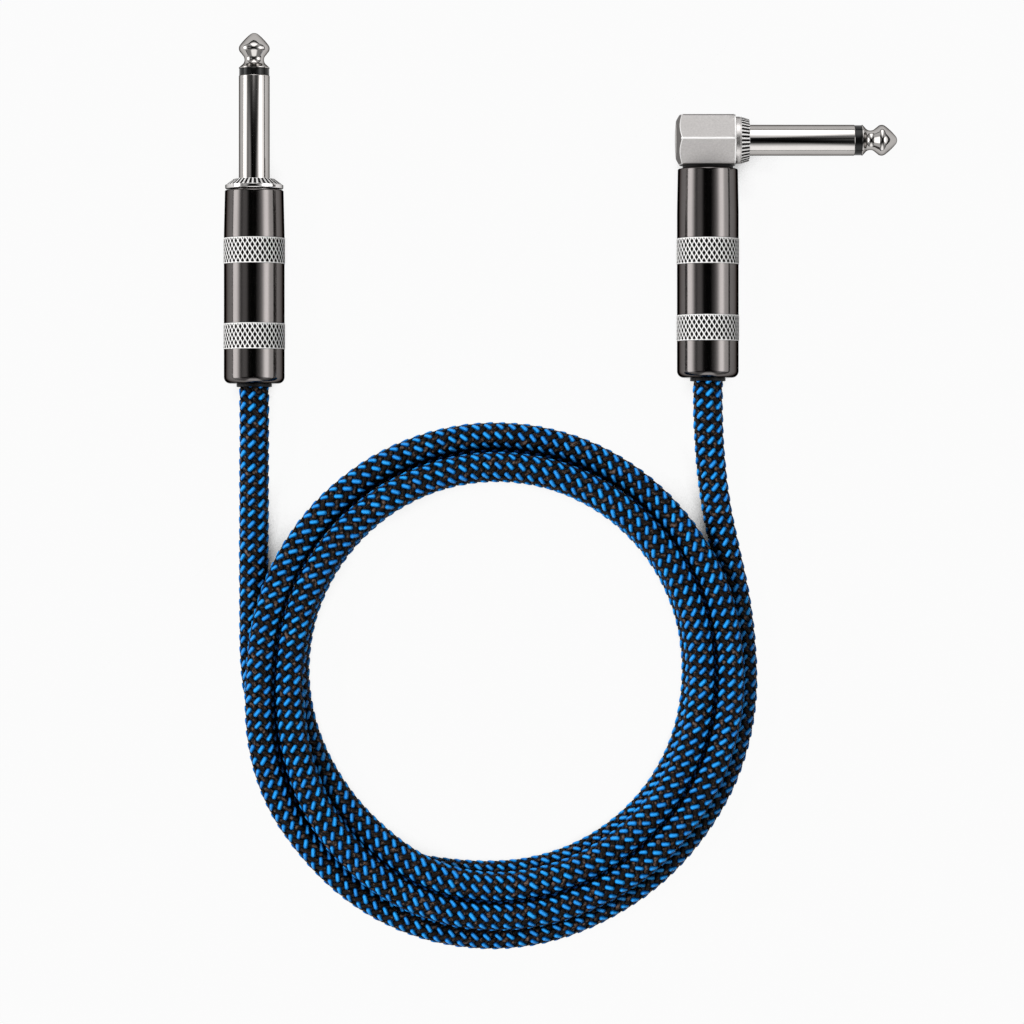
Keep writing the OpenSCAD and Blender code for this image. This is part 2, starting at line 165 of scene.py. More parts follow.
def diamondPits(angle, height, spec):
    # 0 on the ridges of a diamond knurl, 1 at the bottom of its pits
    u = angle / (2 * np.pi) * spec["around"]
    v = height / spec["rowPitch"]
    return np.clip((np.minimum(saw(u + v), saw(u - v)) - spec["land"]) / (1 - spec["land"]), 0, 1)


def toothGaps(angle, spec):
    # 0 on straight teeth, 1 at the bottom of the gaps between them
    return np.clip((saw(angle / (2 * np.pi) * spec["around"]) - spec["land"]) / (1 - spec["land"]), 0, 1)


# the line of the cable, in metres
cable = {
    "diameter": 0.006, "coreRadius": 0.00272, "sides": 16, "step": 0.0024,
    "coilCentre": (-0.0126, -0.0954),
    "straightLead": [
        (-0.063075, -0.019475, 0.00635), (-0.063075, -0.031, 0.00635),
        (-0.063075, -0.044, 0.00635), (-0.0632, -0.053, 0.0054),
        (-0.0633, -0.062, 0.0036), (-0.0634, -0.072, 0.003), (-0.0633, -0.084, 0.003),
    ],
    "angleLead": [
        (0.030425, -0.015075, 0.00645), (0.030425, -0.029, 0.00645),
        (0.030425, -0.043, 0.00645), (0.031, -0.051, 0.0055), (0.0319, -0.059, 0.0037),
        (0.0332, -0.066, 0.003), (0.0356, -0.076, 0.003), (0.0372, -0.086, 0.003),
    ],
    # the three and a half turns: angle in degrees, radius and height in millimetres
    "turns": [
        (180, 50.5, 3), (200, 48.8, 3), (225, 46.6, 3), (250, 43.2, 3), (270, 42.0, 3),
        (360, 40.8, 3), (450, 42.6, 3), (540, 42.4, 3), (562, 42.0, 4.4),
        (585, 42.3, 6.8), (608, 43.6, 8.4), (630, 44.1, 8.8), (720, 41.5, 8.9),
        (810, 42.4, 9), (900, 42.9, 9), (922, 44.4, 9.5), (945, 47.3, 9.9),
        (968, 49.6, 8.8), (990, 49.9, 8.2), (1080, 47.3, 8.6), (1110, 47.5, 8.4),
        (1140, 48.2, 5.6), (1170, 48.7, 3), (1200, 48.8, 4.6), (1230, 48.8, 8.2),
        (1260, 48.9, 8.9), (1282, 51.0, 8.0), (1305, 53.0, 5.4), (1328, 54.4, 3.6),
        (1350, 54.4, 3), (1395, 51.6, 3), (1440, 50.2, 3),
    ],
    "turnStep": 3.0,  # degrees between the points of the turns
    "smoothing": 5,  # how many points to each side are averaged
}
settling = {
    "rounds": 300,
    "clearance": 0.00602,  # from strand to strand
    "looked": 0.010,  # points closer than this can come to touch
    "neighbours": 12,  # points this few steps apart lie on one bend and never push
    "held": 9, "freed": 6,  # points that each end holds, and over how many more it lets go
    "stiffness": 0.06, "pull": 0.01, "sinking": 4e-6,
}


def evenly(points, step):
    # the same line with its points a fixed step apart
    lengths = np.r_[0, np.cumsum(np.linalg.norm(np.diff(points, axis=0), axis=1))]
    at = np.linspace(0, lengths[-1], int(round(lengths[-1] / step)) + 1)
    return np.stack([np.interp(at, lengths, points[:, k]) for k in range(3)], axis=1)


def coilLine(spec):
    knownAngle, *known = np.array(spec["turns"], dtype=float).T
    angle = np.arange(knownAngle[0], knownAngle[-1] + spec["turnStep"] / 2, spec["turnStep"])
    window = np.hanning(2 * spec["smoothing"] + 3)[1:-1]
    window /= window.sum()
    smooth = []
    for values in known:
        padded = np.pad(np.interp(angle, knownAngle, values), spec["smoothing"], mode="edge")
        smooth.append(np.convolve(padded, window, mode="valid") * mm)
    radius, height = smooth
    turn = np.radians(angle)
    return np.stack([spec["coilCentre"][0] + radius * np.cos(turn),
                     spec["coilCentre"][1] + radius * np.sin(turn), height], axis=1)


def settledLine(spec, settle):
    # strands that would lie in each other move apart, and bends even out
    start = np.array(spec["straightLead"])
    end = np.array(spec["angleLead"])[::-1]
    line = evenly(np.vstack([start, coilLine(spec), end]), spec["step"])
    count = len(line)
    fromEnd = np.minimum(np.arange(count), np.arange(count)[::-1])
    free = (np.clip(fromEnd - settle["held"], 0, settle["freed"]) / settle["freed"])[:, None]
    aim = line.copy()
    a, b = np.triu_indices(count, settle["neighbours"])
    near = np.linalg.norm(line[a] - line[b], axis=1) < settle["looked"]
    a, b = a[near], b[near]
    for _ in range(settle["rounds"]):
        gap = line[b] - line[a]
        distance = np.linalg.norm(gap, axis=1)
        tight = distance < settle["clearance"]
        push = gap[tight] * ((settle["clearance"] - distance[tight]) / 2 / distance[tight])[:, None]
        move = np.zeros_like(line)
        hits = np.zeros(count)
        for side, way in ((a[tight], -push), (b[tight], push)):
            np.add.at(move, side, way)
            np.add.at(hits, side, 1)
        line += free * move / np.maximum(hits, 1)[:, None]
        bend = -line[:-4] + 4 * line[1:-3] - 6 * line[2:-2] + 4 * line[3:-1] - line[4:]
        line[2:-2] += settle["stiffness"] * free[2:-2] * bend
        line += settle["pull"] * free * (aim - line)
        line[:, 2] = np.maximum(line[:, 2] - settle["sinking"] * free[:, 0], spec["diameter"] / 2)
    return line


def makeCableCore(spec, line):
    # the dark inside of the braid, a tube that is closed at both ends
    direction = np.gradient(line, axis=0)
    direction /= np.linalg.norm(direction, axis=1)[:, None]
    side = np.cross(direction, (0, 0, 1))
    side /= np.linalg.norm(side, axis=1)[:, None]
    upward = np.cross(side, direction)
    angle = roundAngles(spec["sides"])[:, None]
    ring = side[:, None] * np.cos(angle) + upward[:, None] * np.sin(angle)
    points = line[:, None] + spec["coreRadius"] * ring
    points = np.concatenate([np.repeat(line[:1, None], spec["sides"], axis=1), points,
                             np.repeat(line[-1:, None], spec["sides"], axis=1)])
    return gridObject("cableCore", points)


cableLine = settledLine(cable, settling)
cableCore = makeCableCore(cable, cableLine)


# nodes: what the braid's tree and the materials share
def wire(tree, sockets, values):
    # a socket takes another node's output or a plain value; colours are red, green and blue
    for key, value in values.items():
        socket = sockets[key]
        if isinstance(value, bpy.types.NodeSocket):
            tree.links.new(value, socket)
        elif socket.type == "RGBA":
            socket.default_value = (*value, 1)
        else:
            socket.default_value = value


def addNode(tree, kind, inputs=None, **settings):
    made = tree.nodes.new(kind)
    for key, value in settings.items():
        setattr(made, key, value)
    wire(tree, made.inputs, inputs or {})
    return made


def newGroup(name, kind, inputs, outputs):
    tree = bpy.data.node_groups.new(name, kind)
    for way, sockets in (("INPUT", inputs), ("OUTPUT", outputs)):
        for label, socketKind in sockets:
            tree.interface.new_socket(label, in_out=way, socket_type="NodeSocket" + socketKind)
    return tree, tree.nodes.new("NodeGroupInput").outputs, tree.nodes.new("NodeGroupOutput").inputs


def mathNode(tree, operation, first, second=0.0, clamp=False):
    made = addNode(tree, "ShaderNodeMath", {0: first, 1: second}, operation=operation, use_clamp=clamp)
    return made.outputs[0]


def plus(tree, first, second):
    return mathNode(tree, "ADD", first, second)


def minus(tree, first, second):
    return mathNode(tree, "SUBTRACT", first, second)


def times(tree, first, second):
    return mathNode(tree, "MULTIPLY", first, second)


def absolute(tree, value):
    return mathNode(tree, "ABSOLUTE", value)


def larger(tree, first, second):
    return mathNode(tree, "MAXIMUM", first, second)


def vectorNode(tree, operation, first, second):
    made = addNode(tree, "ShaderNodeVectorMath", {0: first, 1: second}, operation=operation)
    return made.outputs["Value" if operation == "DOT_PRODUCT" else "Vector"]


def scaled(tree, vector, factor):
    return addNode(tree, "ShaderNodeVectorMath", {0: vector, "Scale": factor}, operation="SCALE").outputs[0]


# the picks of the braid, in millimetres, laid along the line by Geometry Nodes
bluePick = {
    "length": 2.25, "width": 1.14, "height": 0.34, "sink": 0.24, "bend": 2.86,
    "slant": -1, "radius": 2.80, "rowShift": 0.0, "columnShift": -0.14, "seed": 3,
}
blackPick = {
    "length": 2.75, "width": 1.34, "height": 0.24, "sink": 0.24, "bend": 2.8,
    "slant": 1, "radius": 2.74, "rowShift": 0.5, "columnShift": 0.36, "seed": 8,
}
pickForm = {
    "endAngles": (-70, -25, 25, 70),  # where each round end has its points, in degrees
    "hem": 0.97, "hemLift": 0.02, "shoulder": 0.64, "shoulderLift": 0.8, "crown": 0.62,
}
braid = {
    "pitch": 2.42, "columns": 8, "sizeSpread": 0.07, "turnSpread": 0.08,
    "sizeSeed": 11, "toneSeed": 23,  # added to a pick's own seed
}


def makePickMesh(name, spec, form):
    # a low rounded pad: an outline, a shoulder and a crown, bent to the round of the cable
    halfWidth = spec["width"] / 2
    straight = spec["length"] / 2 - halfWidth
    outline = []
    for end in (1, -1):
        for a in map(math.radians, form["endAngles"]):
            outline.append((end * (straight + halfWidth * math.cos(a)), end * halfWidth * math.sin(a)))
    points = []
    for scale, lift in ((1.0, -spec["sink"]), (form["hem"], form["hemLift"]),
                        (form["shoulder"], form["shoulderLift"] * spec["height"])):
        for x, y in outline:
            points.append((math.copysign(abs(x) - (1 - scale) * halfWidth, x), y * scale, lift))
    crown = len(points)
    points += [(end * form["crown"] * straight, 0, spec["height"]) for end in (1, -1)]

    around, half = len(outline), len(form["endAngles"])
    right, left = 2 * around, 2 * around + half  # where the two ends of the shoulder start
    faces = []
    for ring in (0, around):
        for k in range(around):
            a, b = ring + k, ring + (k + 1) % around
            faces.append((a, b, b + around, a + around))
    for k in range(half - 1):
        faces += [(right + k, right + k + 1, crown), (left + k, left + k + 1, crown + 1)]
    faces += [(left - 1, left, crown + 1, crown), (left + half - 1, right, crown, crown + 1),
              tuple(range(around - 1, -1, -1))]

    bent = []
    for x, y, z in points:
        across = (spec["slant"] * x + y) / math.sqrt(2)
        bent.append((x * mm, y * mm, (z - across * across / (2 * spec["bend"])) * mm))
    mesh = bpy.data.meshes.new(name)
    mesh.from_pydata(bent, [], faces)
    layer = mesh.uv_layers.new(name="pickMap")
    for loop in mesh.loops:
        x, y, _ = points[loop.vertex_index]
        layer.data[loop.index].uv = (x / spec["length"] + 0.5, y / spec["width"] + 0.5)
    height = mesh.attributes.new("pickHeight", "FLOAT", "POINT")
    height.data.foreach_set("value", [max(0.0, z) / spec["height"] for _, _, z in points])
    mesh.shade_smooth()
    return mesh


def stored(tree, geometry, name, value, kind="FLOAT", domain="POINT"):
    inputs = {"Geometry": geometry, "Name": name, "Value": value}
    return addNode(tree, "GeometryNodeStoreNamedAttribute", inputs, data_type=kind, domain=domain).outputs[0]


def attribute(tree, name, kind="FLOAT"):
    return addNode(tree, "GeometryNodeInputNamedAttribute", {"Name": name}, data_type=kind).outputs[0]


def randomNode(tree, low, high, seed):
    return addNode(tree, "FunctionNodeRandomValue", {2: low, 3: high, "Seed": seed},
                   data_type="FLOAT").outputs[1]


def makeBraidTree():
    numbers = ("Pitch", "Radius", "Slant", "Row Shift", "Column Shift", "Size Spread", "Turn Spread")
    tree, given, result = newGroup("laidPicks", "GeometryNodeTree", [
        ("Geometry", "Geometry"), ("Pick", "Object"), *((name, "Float") for name in numbers),
        ("Columns", "Int"), ("Seed", "Int"), ("Material", "Material")], [("Geometry", "Geometry")])

    # points a pitch apart on the line, each repeated once for every column round it
    curve = addNode(tree, "GeometryNodeMeshToCurve", {"Mesh": given["Geometry"]}).outputs[0]
    upright = addNode(tree, "GeometryNodeSetCurveNormal", {"Curve": curve}, mode="Z_UP").outputs[0]
    rows = addNode(tree, "GeometryNodeCurveToPoints", {"Curve": upright, "Length": given["Pitch"]},
                   mode="LENGTH").outputs
    points = stored(tree, rows["Points"], "along", rows["Tangent"], "FLOAT_VECTOR")
    points = stored(tree, points, "sideways", rows["Normal"], "FLOAT_VECTOR")
    copies = addNode(tree, "GeometryNodeDuplicateElements", {"Geometry": points, "Amount": given["Columns"]},
                     domain="POINT").outputs
    points = stored(tree, copies["Geometry"], "column", copies["Duplicate Index"])

    # a pick's place: round the line by its column, and ahead by the slope of its row
    along = attribute(tree, "along", "FLOAT_VECTOR")
    sideways = attribute(tree, "sideways", "FLOAT_VECTOR")
    upward = vectorNode(tree, "CROSS_PRODUCT", sideways, along)
    share = mathNode(tree, "DIVIDE", plus(tree, attribute(tree, "column"), given["Column Shift"]),
                     given["Columns"])
    angle = times(tree, share, 2 * math.pi)
    outward = vectorNode(tree, "ADD", scaled(tree, sideways, mathNode(tree, "COSINE", angle)),
                         scaled(tree, upward, mathNode(tree, "SINE", angle)))
    rowsAhead = plus(tree, minus(tree, share, 0.5), given["Row Shift"])
    ahead = times(tree, rowsAhead, given["Pitch"])
    offset = vectorNode(tree, "ADD", scaled(tree, outward, given["Radius"]), scaled(tree, along, ahead))
    points = addNode(tree, "GeometryNodeSetPosition", {"Geometry": points, "Offset": offset}).outputs[0]

    # it faces outwards and leans across the line, by a little more or less each time
    lean = randomNode(tree, times(tree, given["Turn Spread"], -1.0), given["Turn Spread"], given["Seed"])
    longWay = vectorNode(tree, "ADD", along, scaled(tree, vectorNode(tree, "CROSS_PRODUCT", outward, along),
                                                    plus(tree, given["Slant"], lean)))
    facing = addNode(tree, "FunctionNodeAlignRotationToVector", {"Vector": outward}, axis="Z").outputs[0]
    aimed = addNode(tree, "FunctionNodeAlignRotationToVector", {"Rotation": facing, "Vector": longWay},
                    axis="X", pivot_axis="Z").outputs[0]
    size = randomNode(tree, minus(tree, 1.0, given["Size Spread"]),
                      plus(tree, 1.0, given["Size Spread"]), plus(tree, given["Seed"], braid["sizeSeed"]))
    pick = addNode(tree, "GeometryNodeObjectInfo", {"Object": given["Pick"]}).outputs["Geometry"]
    laid = addNode(tree, "GeometryNodeInstanceOnPoints", {
        "Points": points, "Instance": pick, "Rotation": aimed, "Scale": size}).outputs[0]
    tone = randomNode(tree, 0.0, 1.0, plus(tree, given["Seed"], braid["toneSeed"]))
    laid = stored(tree, laid, "pickTone", tone, domain="INSTANCE")
    whole = addNode(tree, "GeometryNodeRealizeInstances", {"Geometry": laid}).outputs[0]
    painted = addNode(tree, "GeometryNodeSetMaterial", {"Geometry": whole, "Material": given["Material"]})
    wire(tree, result, {"Geometry": painted.outputs[0]})
    return tree


def layPicks(name, spec, tree, line, material):
    # a bare line carries the modifier; its result becomes the piece
    path = bpy.data.meshes.new(name + "Line")
    path.from_pydata(line.tolist(), [(k, k + 1) for k in range(len(line) - 1)], [])
    carrier = addObject(name + "Line", path)
    pick = bpy.data.objects.new(name + "Single", makePickMesh(name + "Single", spec, pickForm))
    modifier = carrier.modifiers.new("picks", "NODES")
    modifier.node_group = tree
    values = {
        "Pick": pick, "Pitch": braid["pitch"] * mm, "Radius": spec["radius"] * mm,
        "Slant": float(spec["slant"]), "Row Shift": spec["rowShift"], "Column Shift": spec["columnShift"],
        "Size Spread": braid["sizeSpread"], "Turn Spread": braid["turnSpread"],
        "Columns": braid["columns"], "Seed": spec["seed"], "Material": material,
    }
    for item in tree.interface.items_tree:
        if item.in_out == "INPUT" and item.name in values:
            modifier[item.identifier] = values[item.name]
    mesh = bpy.data.meshes.new_from_object(carrier.evaluated_get(bpy.context.evaluated_depsgraph_get()))
    mesh.name = name
    for extra in ("along", "sideways", "column"):
        if extra in mesh.attributes:
            mesh.attributes.remove(mesh.attributes[extra])
    carrier.modifiers.clear()
    bpy.data.objects.remove(carrier)
    bpy.data.objects.remove(pick)
    return addObject(name, mesh)


# shader groups: effects that several finishes share
yarnLook = {
    "wanderScale": 2.6, "wander": 0.16,  # how yarns stray from straight
    "fibres": (3.0, 22.0, 37.0),  # how fine the fibres are along and across, and how picks differ
    "waveShare": 0.6, "fibreShare": 0.5,
    # each is a range of the mask and what it becomes; the side and end falls, the hem rise and the shade make
    # painted shade on the picks, and the light makes a painted highlight on their yarns
    "sideFall": (0.2, 0.44, 1.0, 0.5), "endFall": (0.34, 0.48, 1.0, 0.6), "hemRise": (0.0, 0.75, 0.25, 1.0),
    "shade": (0.1, 0.9, 0.66, 1.12), "light": (0.5, 0.95, 0.0, 1.0),
    "endPower": 3.0, "sidePower": 2.0,
}


def mixColor(tree, share, first, second):
    return addNode(tree, "ShaderNodeMix", {0: share, 6: first, 7: second}, data_type="RGBA").outputs[2]


def mapRange(tree, value, low, high, toLow=0.0, toHigh=1.0):
    return addNode(tree, "ShaderNodeMapRange", {0: value, 1: low, 2: high, 3: toLow, 4: toHigh}).outputs[0]


def noise(tree, vector, scale, detail, roughness=0.5):
    return addNode(tree, "ShaderNodeTexNoise", {"Vector": vector, "Scale": scale, "Detail": detail,
                                                "Roughness": roughness}).outputs[0]


def makeGrainGroup():
    # fine mottling and broader clouds, for a surface that has been handled
    tree, given, result = newGroup("grain", "ShaderNodeTree", [
        ("Vector", "Vector"), ("Fine Scale", "Float"), ("Broad Scale", "Float"), ("Stretch", "Vector")],
        [("Fine", "Float"), ("Broad", "Float")])
    stretched = vectorNode(tree, "MULTIPLY", given["Vector"], given["Stretch"])
    wire(tree, result, {"Fine": noise(tree, stretched, given["Fine Scale"], 3.0, 0.6),
                        "Broad": noise(tree, given["Vector"], given["Broad Scale"], 2.0)})
    return tree


def makeYarnGroup(look):
    # yarns that run along a pick: a painted highlight on their backs, and painted shade between them and
    # round the hem
    tree, given, result = newGroup("yarn", "ShaderNodeTree", [
        ("Map", "Vector"), ("Tone", "Float"), ("Yarns", "Float"), ("Height", "Float")],
        [("Shade", "Float"), ("Light", "Float"), ("Relief", "Float"), ("Crown", "Float")])
    x, y, _ = addNode(tree, "ShaderNodeSeparateXYZ", {0: given["Map"]}).outputs
    stray = times(tree, noise(tree, given["Map"], look["wanderScale"], 1.0), look["wander"])
    phase = times(tree, times(tree, plus(tree, y, stray), given["Yarns"]), 2 * math.pi)
    wave = plus(tree, times(tree, mathNode(tree, "SINE", phase), 0.5), 0.5)
    place = addNode(tree, "ShaderNodeCombineXYZ", {0: x, 1: y, 2: given["Tone"]}).outputs[0]
    fibre = noise(tree, vectorNode(tree, "MULTIPLY", place, look["fibres"]), 1.0, 3.0)
    relief = plus(tree, times(tree, wave, look["waveShare"]), times(tree, fibre, look["fibreShare"]))
    fromMiddle = absolute(tree, minus(tree, y, 0.5))
    fromEnds = absolute(tree, minus(tree, x, 0.5))
    fall = times(tree, mapRange(tree, fromMiddle, *look["sideFall"]),
                 mapRange(tree, fromEnds, *look["endFall"]))
    hem = times(tree, mapRange(tree, given["Height"], *look["hemRise"]), fall)
    slope = plus(tree, mathNode(tree, "POWER", times(tree, fromEnds, 2.0), look["endPower"]),
                 mathNode(tree, "POWER", times(tree, fromMiddle, 2.0), look["sidePower"]))
    wire(tree, result, {"Shade": times(tree, hem, mapRange(tree, relief, *look["shade"])),
                        "Light": times(tree, hem, mapRange(tree, relief, *look["light"])),
                        "Relief": relief, "Crown": mathNode(tree, "SUBTRACT", 1.0, slope, True)})
    return tree


grainGroup = makeGrainGroup()
yarnGroup = makeYarnGroup(yarnLook)


# materials
def newMaterial(name, constants):
    material = bpy.data.materials.new(name)
    material.use_nodes = True
    tree = material.node_tree
    shader = tree.nodes["Principled BSDF"].inputs
    wire(tree, shader, constants)
    return material, tree, shader


def addGroup(tree, group, inputs):
    return addNode(tree, "ShaderNodeGroup", inputs, node_tree=group).outputs


def addBump(tree, shader, height, distance, strength=1.0):
    bump = addNode(tree, "ShaderNodeBump", {"Height": height, "Distance": distance, "Strength": strength})
    wire(tree, shader, {"Normal": bump.outputs[0]})


def objectPlace(tree):
    return addNode(tree, "ShaderNodeTexCoord").outputs["Object"]


def pointMark(tree, name):
    return addNode(tree, "ShaderNodeAttribute", attribute_name=name).outputs["Fac"]


def openness(tree, distance):
    return addNode(tree, "ShaderNodeAmbientOcclusion", {"Distance": distance}, samples=8).outputs["AO"]


# where the grain's noise has its middle values, and how much of a metal's mottling is fine
grainRange = {"color": (0.35, 0.65), "roughness": (0.3, 0.7), "fineShare": 0.55}


def addGrain(tree, shader, spec):
    # colour, roughness and bump all follow the same grain
    grain = addGroup(tree, grainGroup, {
        "Vector": objectPlace(tree), "Fine Scale": spec["fine"], "Broad Scale": spec["broad"],
        "Stretch": spec.get("stretch", (1, 1, 1))})
    addBump(tree, shader, grain["Fine"], spec["bump"])
    return grain, mapRange(tree, grain["Fine"], *grainRange["roughness"], *spec["roughness"])


def makeMetal(name, spec):
    # the rim tint is what is left of a reflection that only grazes the metal
    material, tree, shader = newMaterial(name, {"Metallic": spec.get("metallic", 1.0),
                                                "Specular Tint": (spec["rimTint"],) * 3})
    grain, roughness = addGrain(tree, shader, spec)
    mottle = plus(tree, times(tree, grain["Fine"], grainRange["fineShare"]),
                  times(tree, grain["Broad"], 1 - grainRange["fineShare"]))
    color = mixColor(tree, mapRange(tree, mottle, *grainRange["color"]), spec["dark"], spec["color"])
    for mark, low, high, markColor in spec.get("marks", []):
        color = mixColor(tree, mapRange(tree, pointMark(tree, mark), low, high), color, markColor)
    if "bandRoughness" in spec:
        band = pointMark(tree, "band")
        roughness = plus(tree, roughness, times(tree, band, spec["bandRoughness"]))
        wire(tree, shader, {"Metallic": mapRange(tree, band, 0.0, 1.0, 1.0, spec["bandMetallic"])})
    wire(tree, shader, {"Base Color": color, "Roughness": roughness})
    return material


def makePlain(name, spec):
    # rubber, plastic, fibre and wire
    material, tree, shader = newMaterial(name, spec.get("constants", {}))
    grain, roughness = addGrain(tree, shader, spec)
    share = mapRange(tree, grain["Broad"], *grainRange["color"])
    wire(tree, shader, {"Base Color": mixColor(tree, share, spec["dark"], spec["color"]),
                        "Roughness": roughness})
    return material


# values kept on the points, from where to where they count, and the colour that they bring
# bright cut metal on the knurled bands, and a painted highlight on the head's edges
bareMetalAndHighlight = (0.97, 0.96, 0.95)
# the pits of the knurls and the gaps between the teeth get a painted shade, near black
knurlMarks = [("band", 0.0, 1.0, bareMetalAndHighlight), ("pit", 0.0, 0.2, (0.008, 0.007, 0.007))]
# on the head: a grey painted shade on the bevel and the side corners, a near-black painted shade on the neck,
# and a painted highlight on the edges and the ridge
headMarks = [("paintedShade", 0.1, 0.6, (0.13, 0.122, 0.118)), ("paintedShade", 1.1, 1.5, (0.005, 0.0046, 0.0046)),
             ("edge", 0.15, 0.7, bareMetalAndHighlight)]
# fine and broad are the scales of the grain, and bump is its depth in metres
metals = {
    "mirrorNickel": {
        "color": (0.50, 0.48, 0.465), "dark": (0.46, 0.44, 0.425), "rimTint": 0.04,
        "roughness": (0.05, 0.08), "fine": 2600, "broad": 240, "bump": 1e-6},
    "brightNickel": {
        "color": (0.80, 0.78, 0.77), "dark": (0.72, 0.70, 0.69), "rimTint": 0.08, "marks": knurlMarks,
        "bandRoughness": 0.55, "bandMetallic": 0.5,
        "roughness": (0.06, 0.1), "fine": 2600, "broad": 300, "bump": 1e-6},
    "gunmetal": {
        "color": (0.150, 0.139, 0.136), "dark": (0.142, 0.131, 0.128), "rimTint": 0.0, "marks": knurlMarks,
        "bandRoughness": 0.6, "bandMetallic": 0.35,
        "roughness": (0.10, 0.14), "fine": 2200, "broad": 200, "bump": 1e-6},
    "satinNickel": {
        "color": (0.56, 0.54, 0.53), "dark": (0.45, 0.432, 0.424), "rimTint": 0.2, "marks": headMarks,
        "metallic": 0.3, "roughness": (0.50, 0.62), "fine": 5200, "broad": 2600, "stretch": (0.8, 1, 1),
        "bump": 1.2e-5},
    "sheetBrass": {
        "color": (0.76, 0.56, 0.27), "dark": (0.58, 0.40, 0.18), "rimTint": 0.6,
        "roughness": (0.24, 0.42), "fine": 2400, "broad": 220, "bump": 4e-6},
    "bareCopper": {
        "color": (0.78, 0.42, 0.25), "dark": (0.45, 0.20, 0.11), "rimTint": 0.6,
        "roughness": (0.25, 0.45), "fine": 3000, "broad": 900, "stretch": (1, 0.15, 1), "bump": 4e-5},
}
metals["softNickel"] = dict(metals["brightNickel"], color=(0.66, 0.64, 0.63), dark=(0.52, 0.50, 0.49),
                            roughness=(0.30, 0.42))
plains = {
    "blackPlastic": {
        "color": (0.005, 0.005, 0.005), "dark": (0.003, 0.003, 0.003), "roughness": (0.1, 0.16),
        "fine": 2500, "broad": 260, "bump": 1e-6, "constants": {"Specular IOR Level": 0.25}},
    "grommetRubber": {
        "color": (0.004, 0.004, 0.0046), "dark": (0.0025, 0.0025, 0.003), "roughness": (0.42, 0.62),
        "fine": 3000, "broad": 500, "bump": 1e-5, "constants": {"Specular IOR Level": 0.2}},
    "linerPlastic": {
        "color": (0.80, 0.78, 0.73), "dark": (0.70, 0.68, 0.62), "roughness": (0.3, 0.45),
        "fine": 1500, "broad": 160, "bump": 4e-6},
    "washerFibre": {
        "color": (0.36, 0.13, 0.07), "dark": (0.22, 0.07, 0.04), "roughness": (0.6, 0.8),
        "fine": 4200, "broad": 900, "bump": 2e-5},
    "cableJacket": {
        "color": (0.030, 0.030, 0.034), "dark": (0.018, 0.018, 0.020), "roughness": (0.5, 0.65),
        "fine": 2600, "broad": 320, "bump": 1e-5},
    "coreInsulation": {
        "color": (0.82, 0.80, 0.74), "dark": (0.72, 0.69, 0.62), "roughness": (0.35, 0.5),
        "fine": 2000, "broad": 260, "bump": 4e-6},
    "braidCore": {
        "color": (0.006, 0.005, 0.005), "dark": (0.002, 0.002, 0.002), "roughness": (0.8, 0.95),
        "fine": 5200, "broad": 1800, "bump": 5e-5},
}
yarns = {
    "blueYarn": {
        "color": (0.001, 0.35, 1.0), "otherColor": (0.001, 0.20, 0.76),
        "fleckColor": (0.003, 0.21, 0.85), "fleckScale": 1600, "fleckRange": (0.5, 0.75),
        "highlightColor": (0.11, 0.60, 1.0), "highlightShare": 0.75, "shadeColor": (0.0004, 0.010, 0.05),
        "openRange": (0.36, 0.74), "yarns": 6, "relief": 0.05, "crown": 0.38,
        "constants": {"Roughness": 0.36, "Specular IOR Level": 0.12}},
    # the black yarn's brown flecks and its highlight colour are a painted sheen
    "blackYarn": {
        "color": (0.003, 0.0025, 0.002), "otherColor": (0.008, 0.0065, 0.006),
        "fleckColor": (0.17, 0.118, 0.098), "fleckScale": 950, "fleckRange": (0.53, 0.68),
        "highlightColor": (0.07, 0.062, 0.06), "highlightShare": 0.3, "shadeColor": (0.0005, 0.0005, 0.0005),
        "openRange": (0.48, 0.9), "yarns": 5, "relief": 0.06, "crown": 0.3,
        "constants": {"Roughness": 0.6, "Specular IOR Level": 0.04}},
}
pickShading = {"fleckDetail": 3.0, "fleckRoughness": 0.65, "openWithin": 0.005, "bump": 0.001,
               "bumpShare": 0.9}


def makePickMaterial(name, spec, shading):
    material, tree, shader = newMaterial(name, spec["constants"])
    place = addNode(tree, "ShaderNodeUVMap", uv_map="pickMap").outputs[0]
    tone = pointMark(tree, "pickTone")
    yarn = addGroup(tree, yarnGroup, {"Map": place, "Tone": tone, "Yarns": spec["yarns"],
                                      "Height": pointMark(tree, "pickHeight")})
    flecks = noise(tree, objectPlace(tree), spec["fleckScale"], shading["fleckDetail"],
                   shading["fleckRoughness"])
    color = mixColor(tree, tone, spec["color"], spec["otherColor"])
    color = mixColor(tree, mapRange(tree, flecks, *spec["fleckRange"]), color, spec["fleckColor"])
    # a painted highlight on the backs of the yarns
    color = mixColor(tree, times(tree, yarn["Light"], spec["highlightShare"]), color, spec["highlightColor"])
    # painted shade round the picks, deeper where the strands lie close together
    opened = mapRange(tree, openness(tree, shading["openWithin"]), *spec["openRange"])
    color = mixColor(tree, times(tree, yarn["Shade"], opened), spec["shadeColor"], color)
    wire(tree, shader, {"Base Color": color})
    rounded = plus(tree, times(tree, yarn["Crown"], spec["crown"]),
                   times(tree, yarn["Relief"], spec["relief"]))
    addBump(tree, shader, rounded, shading["bump"], shading["bumpShare"])
    return material


materials = {name: makeMetal(name, spec) for name, spec in metals.items()}
materials.update({name: makePlain(name, spec) for name, spec in plains.items()})
materials.update({name: makePickMaterial(name, spec, pickShading) for name, spec in yarns.items()})
print("materials made:", len(materials))


# the pieces of the cable
def dressPiece(piece, materialName, slotName, body, *nodes):
    piece.data.materials.append(materials[materialName])
    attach(piece, body)
    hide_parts(*nodes)


